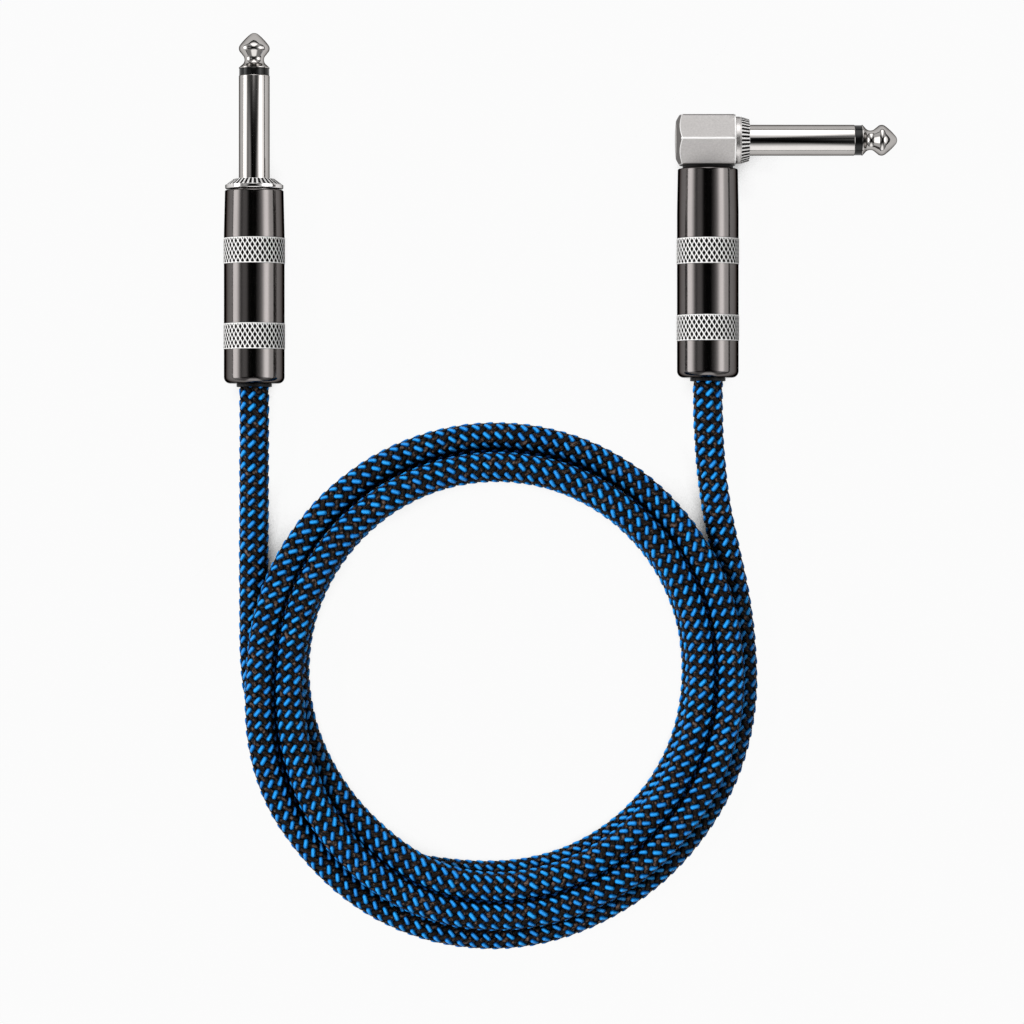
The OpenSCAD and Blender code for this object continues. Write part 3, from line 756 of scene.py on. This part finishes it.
braidTree = makeBraidTree()
bluePicks = layPicks("bluePicks", bluePick, braidTree, cableLine, materials["blueYarn"])
blackPicks = layPicks("blackPicks", blackPick, braidTree, cableLine, materials["blackYarn"])
dressPiece(cableCore, "braidCore", "braided_fabric", "root", "cable_coil", "straight_lead", "angle_lead")
for picks in (bluePicks, blackPicks):
    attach(picks, "root")
print("braid laid:", len(bluePicks.data.polygons), len(blackPicks.data.polygons), "faces")

# the plugs, in millimetres: a shaft's heights count from the collar's face, forwards;
# the seat is how far the sleeve reaches behind it
straightPlug = {"x": -63.075, "y": 6.375, "z": 6.35, "shaft": 21.3, "seat": 2.1}
anglePlug = {"x": 30.425, "y": 14.375, "z": 6.45, "shaft": 21.7, "seat": 5.2, "reach": 8.5, "barrelY": 8.425}
barrelGap = 0.25
inside = {"clampDisc": 0.5, "washer": 0.8, "lug": 0.4, "lugFromAxis": 1.7}
thread = {"radius": 4.75, "depth": 0.36, "pitch": 0.75, "length": 7.0, "width": 1.25, "fade": 0.5,
          "rowStep": 0.09, "below": 0.4, "endRound": 0.3}  # it starts a little below the seat
tip = {
    "ring": 1.45, "rod": 1.2, "rivet": 1.6, "rivetLength": 0.5, "rivetFace": 0.8, "rivetEase": 0.15,
    "bulb": 3.17, "bulbAt": 4.15, "bulbRound": 1.2, "bulbFrom": -30,
    "backEdge": (0.12, 0.035), "backLand": 0.2,  # the edge is broken in two steps
    "waist": 2.0, "waistAt": 1.85, "waistRound": 1.35, "waistAngles": (236, 150),
    "noseRound": 1.35, "flankAngles": (36, 51),
}
insulator = {"clearance": 0.02, "tube": 2.18, "ring": 3.11, "ease": 0.1}
sleeve = {"bore": 2.2, "shaft": 3.175, "seat": 3.5, "ease": 0.1, "frontRound": 0.14, "faceRound": 0.05}

stemTop = -straightPlug["seat"]
straightPlug["shaftFrame"] = (alongY, (straightPlug["x"], straightPlug["y"], straightPlug["z"]))
straightPlug["barrelFrame"] = (alongY, (straightPlug["x"], straightPlug["y"] + stemTop - barrelGap,
                                        straightPlug["z"]))
anglePlug["shaftFrame"] = (alongX, (anglePlug["x"] + anglePlug["reach"], anglePlug["y"], anglePlug["z"]))
anglePlug["barrelFrame"] = (alongY, (anglePlug["x"], anglePlug["barrelY"], anglePlug["z"]))
# the insulator's tube ends on the washer or the contact, and the rod's rivet holds the lug behind it
stemEnd = stemTop - barrelGap - thread["length"]
straightPlug["tubeEnd"] = stemEnd - inside["clampDisc"]
straightPlug["rodEnd"] = straightPlug["tubeEnd"] - inside["washer"] - inside["lug"] - tip["rivetLength"]
anglePlug["tubeEnd"] = inside["lugFromAxis"] + inside["lug"] - anglePlug["reach"]
anglePlug["rodEnd"] = anglePlug["tubeEnd"] - inside["lug"] - tip["rivetLength"]


def arcPoints(x, y, radius, start, end, steps=14):
    turn = np.radians(np.linspace(start, end, steps + 1))
    return [(x + radius * math.cos(a), y + radius * math.sin(a)) for a in turn]


def makeTip(name, spec, place):
    base, rodEnd = place["shaft"] + spec["ring"], place["rodEnd"]
    rod, rivet, bulb = spec["rod"], spec["rivet"], spec["bulb"]
    rivetTop = rodEnd + spec["rivetLength"]
    wide, narrow = spec["backEdge"]
    outline = [(0.0, rodEnd), (rivet * spec["rivetFace"], rodEnd), (rivet, rodEnd + spec["rivetEase"]),
               (rivet, rivetTop), (rod, rivetTop), (rod, base), (bulb - wide, base),
               (bulb - narrow, base + narrow), (bulb, base + wide), (bulb, base + spec["backLand"])]
    # the flank is a wide arc from the bulb's round to the round of the nose
    low, high = spec["flankAngles"]
    lowX, lowY = math.cos(math.radians(low)), math.sin(math.radians(low))
    highX, highY = math.cos(math.radians(high)), math.sin(math.radians(high))
    bulbX, bulbY = bulb - spec["bulbRound"], spec["bulbAt"]
    flank = (bulbX + spec["bulbRound"] * lowX - spec["noseRound"] * highX) / (lowX - highX)
    flankX = bulbX - (flank - spec["bulbRound"]) * lowX
    flankY = bulbY - (flank - spec["bulbRound"]) * lowY
    noseY = flankY + (flank - spec["noseRound"]) * highY
    waist, waistRound = spec["waist"], spec["waistRound"]
    for arc in ((waist + waistRound, spec["waistAt"], waistRound, *spec["waistAngles"]),
                (bulbX, bulbY, spec["bulbRound"], spec["bulbFrom"], low),
                (flankX, flankY, flank, low, high), (0.0, noseY, spec["noseRound"], high, 90)):
        outline += [(max(0.0, x), base + y) for x, y in arcPoints(*arc)]
    return turned(name, outline, place["shaftFrame"], loop=False)


def makeInsulator(name, spec, place):
    bore, ease = tip["rod"] + spec["clearance"], spec["ease"]
    back, front = place["shaft"], place["shaft"] + tip["ring"]
    corners = [(bore, place["tubeEnd"], 0), (spec["tube"], place["tubeEnd"], ease), (spec["tube"], back, 0),
               (spec["ring"], back, ease), (spec["ring"], front, ease), (bore, front, 0)]
    return turned(name, filleted(corners), place["shaftFrame"])


def isOnThread(radius):
    return radius > thread["radius"] - touching


def threadRelief(outline, top, bottom):
    # a helical groove that fades in and out at the ends of the thread
    radius, height = columnsOf(outline)
    share = np.linspace(0, 1, plainSegments, endpoint=False)
    groove = np.clip(thread["width"] * (1 - saw(height / thread["pitch"] - share + 0.5)), 0, 1)
    return -thread["depth"] * groove * fadedEnds(height, top, bottom, thread["fade"]) * isOnThread(radius)


def threadRows(outline, low, high, same=1e-6):
    # more outline points on the upright stretch that carries the thread
    dense = []
    for here, after in zip(outline, outline[1:] + outline[:1]):
        dense.append(here)
        span = abs(after[1] - here[1])
        within = min(here[1], after[1]) >= low - same and max(here[1], after[1]) <= high + same
        if within and abs(after[0] - here[0]) < same and span > thread["rowStep"] and isOnThread(here[0]):
            count = int(span / thread["rowStep"])
            dense += [(here[0], here[1] + (after[1] - here[1]) * s / count) for s in range(1, count)]
    return dense


def sleeveFront(spec, place, end):
    shaft = place["shaft"]
    return [(spec["bore"], end, spec["ease"]), (spec["bore"], shaft, spec["ease"]),
            (spec["shaft"], shaft, spec["frontRound"]), (spec["shaft"], 0.0, 0),
            (spec["seat"], 0.0, spec["faceRound"])]


def makeStraightSleeve(name, spec, place):
    corners = sleeveFront(spec, place, stemEnd)
    corners += [(spec["seat"], stemTop, 0), (thread["radius"], stemTop, spec["ease"]),
                (thread["radius"], stemEnd, thread["endRound"])]
    outline = threadRows(filleted(corners), stemEnd, stemTop)
    relief = threadRelief(outline, stemTop - thread["below"], stemEnd + thread["endRound"])
    return turned(name, outline, place["shaftFrame"], relief=relief)


def makeAngleSleeve(name, spec, place):
    corners = sleeveFront(spec, place, -place["seat"]) + [(spec["seat"], -place["seat"], spec["ease"])]
    return turned(name, filleted(corners), place["shaftFrame"])


# collars: the foot of the cone and the edge of the rim are measured from the rim inwards and
# from the end of the cone backwards
straightCollar = {
    "bore": 3.52, "front": 4.35, "rim": 6.0, "length": 2.1, "coneLength": 1.25, "coneRows": 16,
    "faceEdge": (0.08, 0.06), "foot": (0.12, -0.02), "backRound": 0.3,
    "rimEdge": [(0.12, 0, 0), (0, 0, 0.22)],
    "around": 36, "land": 0.42, "depth": 0.24, "toothFade": 0.18, "segments": 288,
}
angleCollar = {
    "bore": 3.52, "front": 4.35, "rim": 4.85, "length": 2.9, "coneLength": 1.75, "coneRows": 14,
    "faceEdge": (0.1, 0.08), "foot": (0, 0), "backRound": 0.12,
    "rimEdge": [(0.12, 0.05, 0), (0.12, 0.2, 0), (0, 0.2, 0.1)],  # with the groove below the cone
    "around": 36, "land": 0.42, "depth": 0.2, "toothFade": 0.18, "segments": 288,
}


def makeCollar(name, spec, place):
    rim, coneEnd = spec["rim"], -spec["coneLength"]
    across, down = spec["faceEdge"]
    footIn, footDown = spec["foot"]
    outline = [(spec["bore"], 0.0), (spec["front"] - across, 0.0)]
    outline += zip(evenSteps(spec["front"], rim - footIn, spec["coneRows"]),
                   evenSteps(-down, coneEnd - footDown, spec["coneRows"]))
    corners = [(rim - x, coneEnd - y, rounding) for x, y, rounding in spec["rimEdge"]]
    corners += [(rim, -spec["length"], spec["backRound"]), (spec["bore"], -spec["length"], 0)]
    outline += filleted(corners)
    radius, height = columnsOf(outline)
    angle = roundAngles(spec["segments"])
    isOutside = radius > (spec["bore"] + spec["front"]) / 2
    pit = toothGaps(angle, spec) * fadedEnds(height, 0.0, coneEnd, spec["toothFade"]) * isOutside
    band = ((height < touching) & (height > coneEnd - touching)) * np.ones_like(angle)
    return turned(name, outline, place["shaftFrame"], spec["segments"], -spec["depth"] * pit,
                  {"pit": pit, "band": band})


straightBarrel = {
    "radius": 6.25, "front": 6.05, "taper": 9.0, "length": 39.8, "wall": 1.0, "bore": 4.8, "threadDepth": 7.8,
    "endWall": 1.8, "endRound": 1.7, "neck": 3.56, "ease": 0.2, "frontRound": 0.3, "wallRounds": (0.1, 0.3),
    "bands": (9.8, 27.4), "bandWidth": 5.4, "proud": 0.1, "bandEdge": 0.1, "around": 38, "rowPitch": 1.65,
    "land": 0.2, "depth": 0.26, "rows": 27, "fadeFrom": 0.18, "fadeWidth": 0.16, "segments": 304,
}
angleBarrel = dict(straightBarrel, radius=6.35, front=6.2, length=43.0, bands=(14.3, 30.1))


def makeBarrel(name, spec, place):
    # the corners without rounding only say which way the outline runs on
    radius, bore, ease, edge = spec["radius"], spec["bore"], spec["ease"], spec["bandEdge"]
    outline = filleted([(bore, -0.4, 0), (bore, 0.0, ease), (spec["front"], 0.0, spec["frontRound"]),
                        (spec["front"], -0.5, 0)])[1:]
    outline.append((radius, -spec["taper"]))
    for band in spec["bands"]:
        proud, top, bottom = radius + spec["proud"], -band - 2 * edge, 2 * edge - band - spec["bandWidth"]
        outline += [(radius, -band), (proud, -band - edge)]
        outline += [(proud, height) for height in evenSteps(top, bottom, spec["rows"])]
        outline += [(proud, bottom - edge), (radius, bottom - 2 * edge)]
    inner, end, wallTop = radius - spec["wall"], -spec["length"], spec["endWall"] - spec["length"]
    neckRound, innerRound = spec["wallRounds"]
    outline += filleted([(radius, end + 4, 0), (radius, end, spec["endRound"]), (spec["neck"], end, ease),
                         (spec["neck"], wallTop, neckRound), (inner, wallTop, innerRound),
                         (inner, -spec["threadDepth"], ease), (bore, -spec["threadDepth"], ease),
                         (bore, -1.0, 0)], steps=10)
    reach, height = columnsOf(outline)
    angle = roundAngles(spec["segments"])
    pit = np.zeros((len(outline), spec["segments"]))
    bandMark = np.zeros_like(pit)
    for band in spec["bands"]:
        depthIn = np.minimum(-band - height, height + band + spec["bandWidth"])
        within = (depthIn > -touching) & (reach > radius - touching)
        fade = np.clip((depthIn - spec["fadeFrom"]) / spec["fadeWidth"], 0, 1)
        pit += within * fade * diamondPits(angle, height + band, spec)
        bandMark += within * (depthIn > edge / 2)
    return turned(name, outline, place["barrelFrame"], spec["segments"], -spec["depth"] * pit,
                  {"pit": pit, "band": bandMark})


grommet = {"neck": 3.52, "bore": 3.4, "flange": 3.65, "flangeThick": 0.6, "inner": 4.3,
           "innerThick": 0.8, "gap": 0.1}


def makeGrommet(name, spec, barrel, place):
    outer = -barrel["length"] - spec["gap"]
    inner = barrel["endWall"] - barrel["length"] + spec["gap"]
    outerEnd, innerEnd = outer - spec["flangeThick"], inner + spec["innerThick"]
    corners = [(spec["bore"], outerEnd, 0.12), (spec["flange"], outerEnd, 0.2), (spec["flange"], outer, 0.12),
               (spec["neck"], outer, 0), (spec["neck"], inner, 0), (spec["inner"], inner, 0.1),
               (spec["inner"], innerEnd, 0.25), (spec["bore"], innerEnd, 0.1)]
    return turned(name, filleted(corners), place["barrelFrame"])


# the hexagonal head of the right-angle plug, with the stem that its barrel screws onto
angleHead = {
    "flats": 10.3, "back": 15.1, "front": 2.9, "endRadius": 3.8, "bevel": 1.2, "bevelCurve": 1.15,
    "chamfer": 0.4, "cornerRound": 0.5, "dome": 0.16, "seatRadius": 3.52, "seatDepth": 2.4,
    # rows on the end, the bevel and the sides, and how far inside each of them they start or stop
    "endRows": 7, "bevelRows": 16, "sideRows": 12, "endStop": 0.25, "bevelStart": 0.04, "sideStart": 0.3,
    "cornerColumns": 9, "flatColumns": 22,
    # how wide the marks are on the bevel's edge, the rim, the corners and the bevel itself: painted
    # highlights on the edges and the ridge, painted shade on the bevel and the other corners
    "bevelEdge": 0.16, "rimEdge": 0.3, "ridge": 1.25, "bevelFade": 0.2,
    "inFromCorner": 0.5, "pastBevel": 0.1, "outFromSeat": 0.5, "highlightFrom": 0.3,
    "cavity": 2.8, "stemTop": 0.8, "stemNeck": 5.2, "neckEnd": 0.12, "neckShade": 1.6,
}
halfSide = math.radians(30)


def hexRadius(spec):
    # angle and radius round a hexagon with eased corners, closer together at the corners;
    # the ridge is the corner on top and gets a painted highlight, and the other corners get a painted shade
    apothem, rounding = spec["flats"] / 2, spec["cornerRound"]
    centre = (apothem - rounding) / math.cos(halfSide)
    widest = math.degrees(math.atan2(rounding * 0.5, centre + rounding * math.cos(halfSide)))
    offsets = np.r_[np.linspace(-widest, widest, spec["cornerColumns"]),
                    np.linspace(widest, 60 - widest, spec["flatColumns"])[1:-1]]
    angle, radius, ridge, paintedShade = [], [], [], []
    for k in range(6):
        for offset in offsets:
            turn = math.radians(offset)
            angle.append(math.radians(60 * k) + turn)
            if offset <= widest + 1e-9:
                reach = centre * math.cos(turn) + math.sqrt(rounding ** 2 - (centre * math.sin(turn)) ** 2)
            else:
                reach = apothem / math.cos(turn - halfSide)
            radius.append(reach)
            near = max(0.0, 1 - abs(min(offset, 60 - offset)) / (spec["ridge"] * widest))
            isRidge = (k + (offset > 30)) % 3 == 0
            ridge.append(near if isRidge else 0.0)
            paintedShade.append(0.0 if isRidge else near)
    return [np.array(values) for values in (angle, radius, ridge, paintedShade)]


def makeHead(name, spec, place):
    angle, hexagon, ridge, shadedCorner = hexRadius(spec)
    corner = spec["flats"] / 2 / math.cos(halfSide)
    end, seat = spec["endRadius"], spec["seatRadius"]
    back, front = -spec["back"], -spec["front"]
    bevelTop = back + spec["bevel"]
    rows = [(r, back - spec["dome"] * (1 - (r / end) ** 2))
            for r in np.linspace(0, end - spec["endStop"], spec["endRows"])]
    rows += [(end + (corner - end) * s, back + spec["bevel"] * s ** spec["bevelCurve"])
             for s in np.linspace(spec["bevelStart"], 1, spec["bevelRows"])]
    rows += [(corner, x) for x in np.linspace(bevelTop + spec["sideStart"], front - spec["chamfer"],
                                              spec["sideRows"])]
    rows += [(corner - spec["chamfer"], front), (seat, front), (seat, front - spec["seatDepth"]),
             (0.0, front - spec["seatDepth"])]
    reach, x = columnsOf(rows)
    nearCorner = reach > corner - spec["inFromCorner"]
    # painted highlights on the bevel's edge, the front rim and the ridge; painted shade on the bevel and the
    # side corners
    bevelEdge = np.clip(1 - np.abs(hexagon - reach) / spec["bevelEdge"], 0, 1)
    bevelEdge = bevelEdge * (x < bevelTop + spec["pastBevel"])
    rimEdge = np.clip(1 - np.abs(x - front) / spec["rimEdge"], 0, 1) * (reach > seat + spec["outFromSeat"])
    edge = np.maximum(np.maximum(bevelEdge, rimEdge), ridge * nearCorner)
    bevel = np.clip((hexagon - reach) / spec["bevelFade"], 0, 1) * (x < bevelTop) * (reach > end)
    paintedShade = np.maximum(bevel, shadedCorner * nearCorner * (edge < spec["highlightFrom"]))
    points = ringPoints(np.minimum(hexagon, reach), x, angle, place["shaftFrame"])
    return gridObject(name, points, marks={"edge": edge, "paintedShade": paintedShade})


def makeStem(name, spec, place):
    neckEnd, end = spec["neckEnd"], -thread["length"]
    corners = [(spec["cavity"], end, 0.1), (spec["cavity"], spec["stemTop"], 0),
               (spec["stemNeck"], spec["stemTop"], 0.1), (spec["stemNeck"], neckEnd, 0.1),
               (thread["radius"], neckEnd, 0), (thread["radius"], end, thread["endRound"])]
    outline = threadRows(filleted(corners), end, neckEnd)
    relief = threadRelief(outline, 0.0, end + thread["endRound"])
    # the short neck above the thread gets a painted shade, near black
    isNeck = columnsOf(outline)[1] > -0.05
    return turned(name, outline, place["barrelFrame"], relief=relief,
                  marks={"paintedShade": spec["neckShade"] * isNeck * np.ones(relief.shape)})


def joined(name, pieces):
    work = bmesh.new()
    for piece in pieces:
        work.from_mesh(piece.data)
        bpy.data.objects.remove(piece)
    mesh = bpy.data.meshes.new(name)
    work.to_mesh(mesh)
    work.free()
    return addObject(name, mesh)


# each piece gets its material, its body and the node that it replaces
for side, plug, barrel in (("straight", straightPlug, straightBarrel), ("angle", anglePlug, angleBarrel)):
    dressPiece(makeTip(side + "Tip", tip, plug), "mirrorNickel", "mirror_nickel", "root", side + "_tip")
    dressPiece(makeInsulator(side + "Insulator", insulator, plug),
               "blackPlastic", "black_plastic", "root", side + "_insulator")
    dressPiece(makeBarrel(side + "Barrel", barrel, plug),
               "gunmetal", "gunmetal", side + "_shell", side + "_barrel")
    dressPiece(makeGrommet(side + "Grommet", grommet, barrel, plug),
               "grommetRubber", "grommet_rubber", side + "_boot", side + "_grommet")
dressPiece(makeStraightSleeve("straightSleeve", sleeve, straightPlug),
           "mirrorNickel", "mirror_nickel", "root", "straight_sleeve")
dressPiece(makeAngleSleeve("angleSleeve", sleeve, anglePlug),
           "mirrorNickel", "mirror_nickel", "root", "angle_sleeve")
dressPiece(makeCollar("straightCollar", straightCollar, straightPlug),
           "brightNickel", "bright_nickel", "root", "straight_collar")
dressPiece(makeCollar("angleCollar", angleCollar, anglePlug),
           "softNickel", "bright_nickel", "root", "angle_collar")
head = [makeHead("headBlock", angleHead, anglePlug), makeStem("headStem", angleHead, anglePlug)]
dressPiece(joined("angleHead", head), "satinNickel", "satin_nickel", "root", "angle_head")
print("plugs built")

# pieces inside the barrels keep their solids and get their finishes
insideFinish = {
    "ground_clamp": "sheetBrass", "tip_lug": "sheetBrass", "tip_contact": "sheetBrass",
    "washer": "washerFibre", "liner": "linerPlastic", "inner_jacket": "cableJacket",
    "core_wire": "coreInsulation", "shield_tail": "bareCopper",
}
for nodeName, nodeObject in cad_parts.items():
    for ending, finish in insideFinish.items():
        if nodeName.endswith(ending):
            for materialSlot in nodeObject.material_slots:
                materialSlot.material = materials[finish]
print("inside pieces finished")

# floor and light
studio = {
    "floorSize": 6.0, "floorColor": (0.15, 0.15, 0.15), "floorWhite": 0.96,
    # how open the floor is, from closed in by the strands to free: the white starts and is full
    "openWithin": 0.012, "floorOpen": (0.2, 0.42),
    # reflections by angle from straight up, in degrees, from each of the four sides;
    # all end in the white of the floor, with a dark gap above it
    "right": [(0, 0.01), (10, 0.02), (14, 0.12), (20, 0.2), (26, 0.45), (30, 0.7), (34, 1.1), (38, 1.9),
              (42, 3.0), (46, 3.8), (55, 4.0), (59, 3.2), (63, 2.1), (68, 1.7), (78, 1.6), (80.5, 1.4),
              (82, 0.02), (88, 0.02), (89, 1.0)],
    "left": [(0, 0.01), (18, 0.02), (23, 0.2), (28, 0.4), (39, 0.42), (43, 0.3), (47, 0.2), (51, 0.42),
             (55, 0.95), (58, 1.7), (61.5, 2.4), (65, 3.2), (69, 3.7), (76, 3.8), (84, 3.8), (85.5, 0.02),
             (88, 0.02), (89, 1.0)],
    "back": [(0, 0.01), (10, 0.02), (13, 0.15), (17, 0.7), (23, 1.0), (30, 1.5), (37, 2.2), (46, 2.6),
             (73, 2.6), (79, 1.6), (82.5, 0.6), (84, 0.02), (88, 0.02), (89, 1.0)],
    "front": [(0, 0.01), (21, 0.02), (26, 0.12), (30.5, 0.34), (38, 0.75), (46, 1.25), (55, 1.7),
              (84, 1.7), (86, 0.02), (88, 0.02), (89, 1.0)],
    "blend": 0.03,  # how far the sides run into each other
    # the reflected lamps stand at the four sides, with less between them, down to the floor's white
    "between": 0.2, "betweenRange": (0.5, 0.75), "floorAngles": (88, 89),
    # soft light by angle from straight up, and how much more of it comes from one side
    "fill": [(0, 0.9), (35, 0.75), (60, 0.27), (90, 0.05)],
    "fillFrom": (-0.4, 0.15, 0.0),
    # the key lamp: where it stands, how broad it is in degrees and how strong
    "keyFrom": (-0.6, 0.08, 0.75), "keyWidth": 6.0, "keyStrength": 2.9,
}
white = (1, 1, 1)


def makeFloor(spec):
    half = spec["floorSize"] / 2
    mesh = bpy.data.meshes.new("floor")
    corners = [(-half, -half, 0), (half, -half, 0), (half, half, 0), (-half, half, 0)]
    mesh.from_pydata(corners, [], [(0, 1, 2, 3)])
    floor = addObject("floor", mesh)
    material, tree, _ = newMaterial("floorPaper", {
        "Roughness": 0.9, "Specular IOR Level": 0.1, "Base Color": spec["floorColor"]})
    rays = addNode(tree, "ShaderNodeLightPath").outputs
    # white to the camera and in the metal except deep between the strands, where the shadow stays
    openFloor = mapRange(tree, openness(tree, spec["openWithin"]), *spec["floorOpen"])
    direct = larger(tree, rays["Is Camera Ray"],
                      larger(tree, rays["Is Glossy Ray"], rays["Is Transmission Ray"]))
    share = times(tree, times(tree, openFloor, spec["floorWhite"]), direct)
    glow = addNode(tree, "ShaderNodeEmission", {"Color": white, "Strength": 1.0})
    mixed = addNode(tree, "ShaderNodeMixShader", {0: share, 1: tree.nodes["Principled BSDF"].outputs[0],
                                                  2: glow.outputs[0]})
    wire(tree, tree.nodes["Material Output"].inputs, {"Surface": mixed.outputs[0]})
    mesh.materials.append(material)


def angleRamp(tree, angle, stops):
    ramp = addNode(tree, "ShaderNodeValToRGB", {0: angle})
    elements = ramp.color_ramp.elements
    while len(elements) < len(stops):
        elements.new(0.5)
    for element, (degrees, level) in zip(elements, stops):
        element.position = degrees / 90
        element.color = (level, level, level, 1)
    return ramp.outputs[0]


def makeWorld(spec):
    world = bpy.data.worlds.new("studio")
    bpy.context.scene.world = world
    world.use_nodes = True
    tree = world.node_tree
    direction = addNode(tree, "ShaderNodeTexCoord").outputs["Generated"]
    x, y, z = addNode(tree, "ShaderNodeSeparateXYZ", {0: direction}).outputs
    fromTop = mathNode(tree, "MULTIPLY", mathNode(tree, "ARCCOSINE", z), 2 / math.pi, True)
    ramps = {name: angleRamp(tree, fromTop, spec[name])
             for name in ("left", "right", "front", "back", "fill")}

    def eitherSide(value, below, above):
        return mixColor(tree, mapRange(tree, value, -spec["blend"], spec["blend"]), below, above)

    lean = minus(tree, absolute(tree, y), absolute(tree, x))
    reflected = eitherSide(lean, eitherSide(x, ramps["left"], ramps["right"]),
                           eitherSide(y, ramps["front"], ramps["back"]))
    # twice x times y over the level length squared is 1 halfway between the four sides;
    # the floor under it keeps the top of the sky from a division by nothing
    level = larger(tree, plus(tree, times(tree, x, x), times(tree, y, y)), 0.0001)
    crossed = mathNode(tree, "DIVIDE", times(tree, times(tree, x, y), 2.0), level)
    corner = mapRange(tree, absolute(tree, crossed), *spec["betweenRange"], 1.0, spec["between"])
    toFloor = mapRange(tree, fromTop, *(degrees / 90 for degrees in spec["floorAngles"]))
    reflected = mixColor(tree, larger(tree, corner, toFloor), (0, 0, 0), reflected)
    leaning = plus(tree, vectorNode(tree, "DOT_PRODUCT", direction, spec["fillFrom"]), 1.0)
    rays = addNode(tree, "ShaderNodeLightPath").outputs
    lit = mixColor(tree, rays["Is Glossy Ray"], scaled(tree, ramps["fill"], leaning), reflected)
    wire(tree, tree.nodes["Background"].inputs, {"Color": mixColor(tree, rays["Is Camera Ray"], lit, white)})
    # rays find the sky by themselves, so that polished metal sees nothing but its reflections
    world.cycles.sampling_method = "NONE"


def makeKey(spec):
    lamp = bpy.data.lights.new("key", "SUN")
    lamp.energy = spec["keyStrength"]
    lamp.angle = math.radians(spec["keyWidth"])
    key = addObject("key", lamp)
    key.rotation_euler = Vector(spec["keyFrom"]).to_track_quat("Z", "Y").to_euler()
    # the polished metal has its own reflections
    key.visible_glossy = False


makeFloor(studio)
makeWorld(studio)
makeKey(studio)
bpy.context.scene.view_settings.view_transform = "Standard"
print("floor and light set")
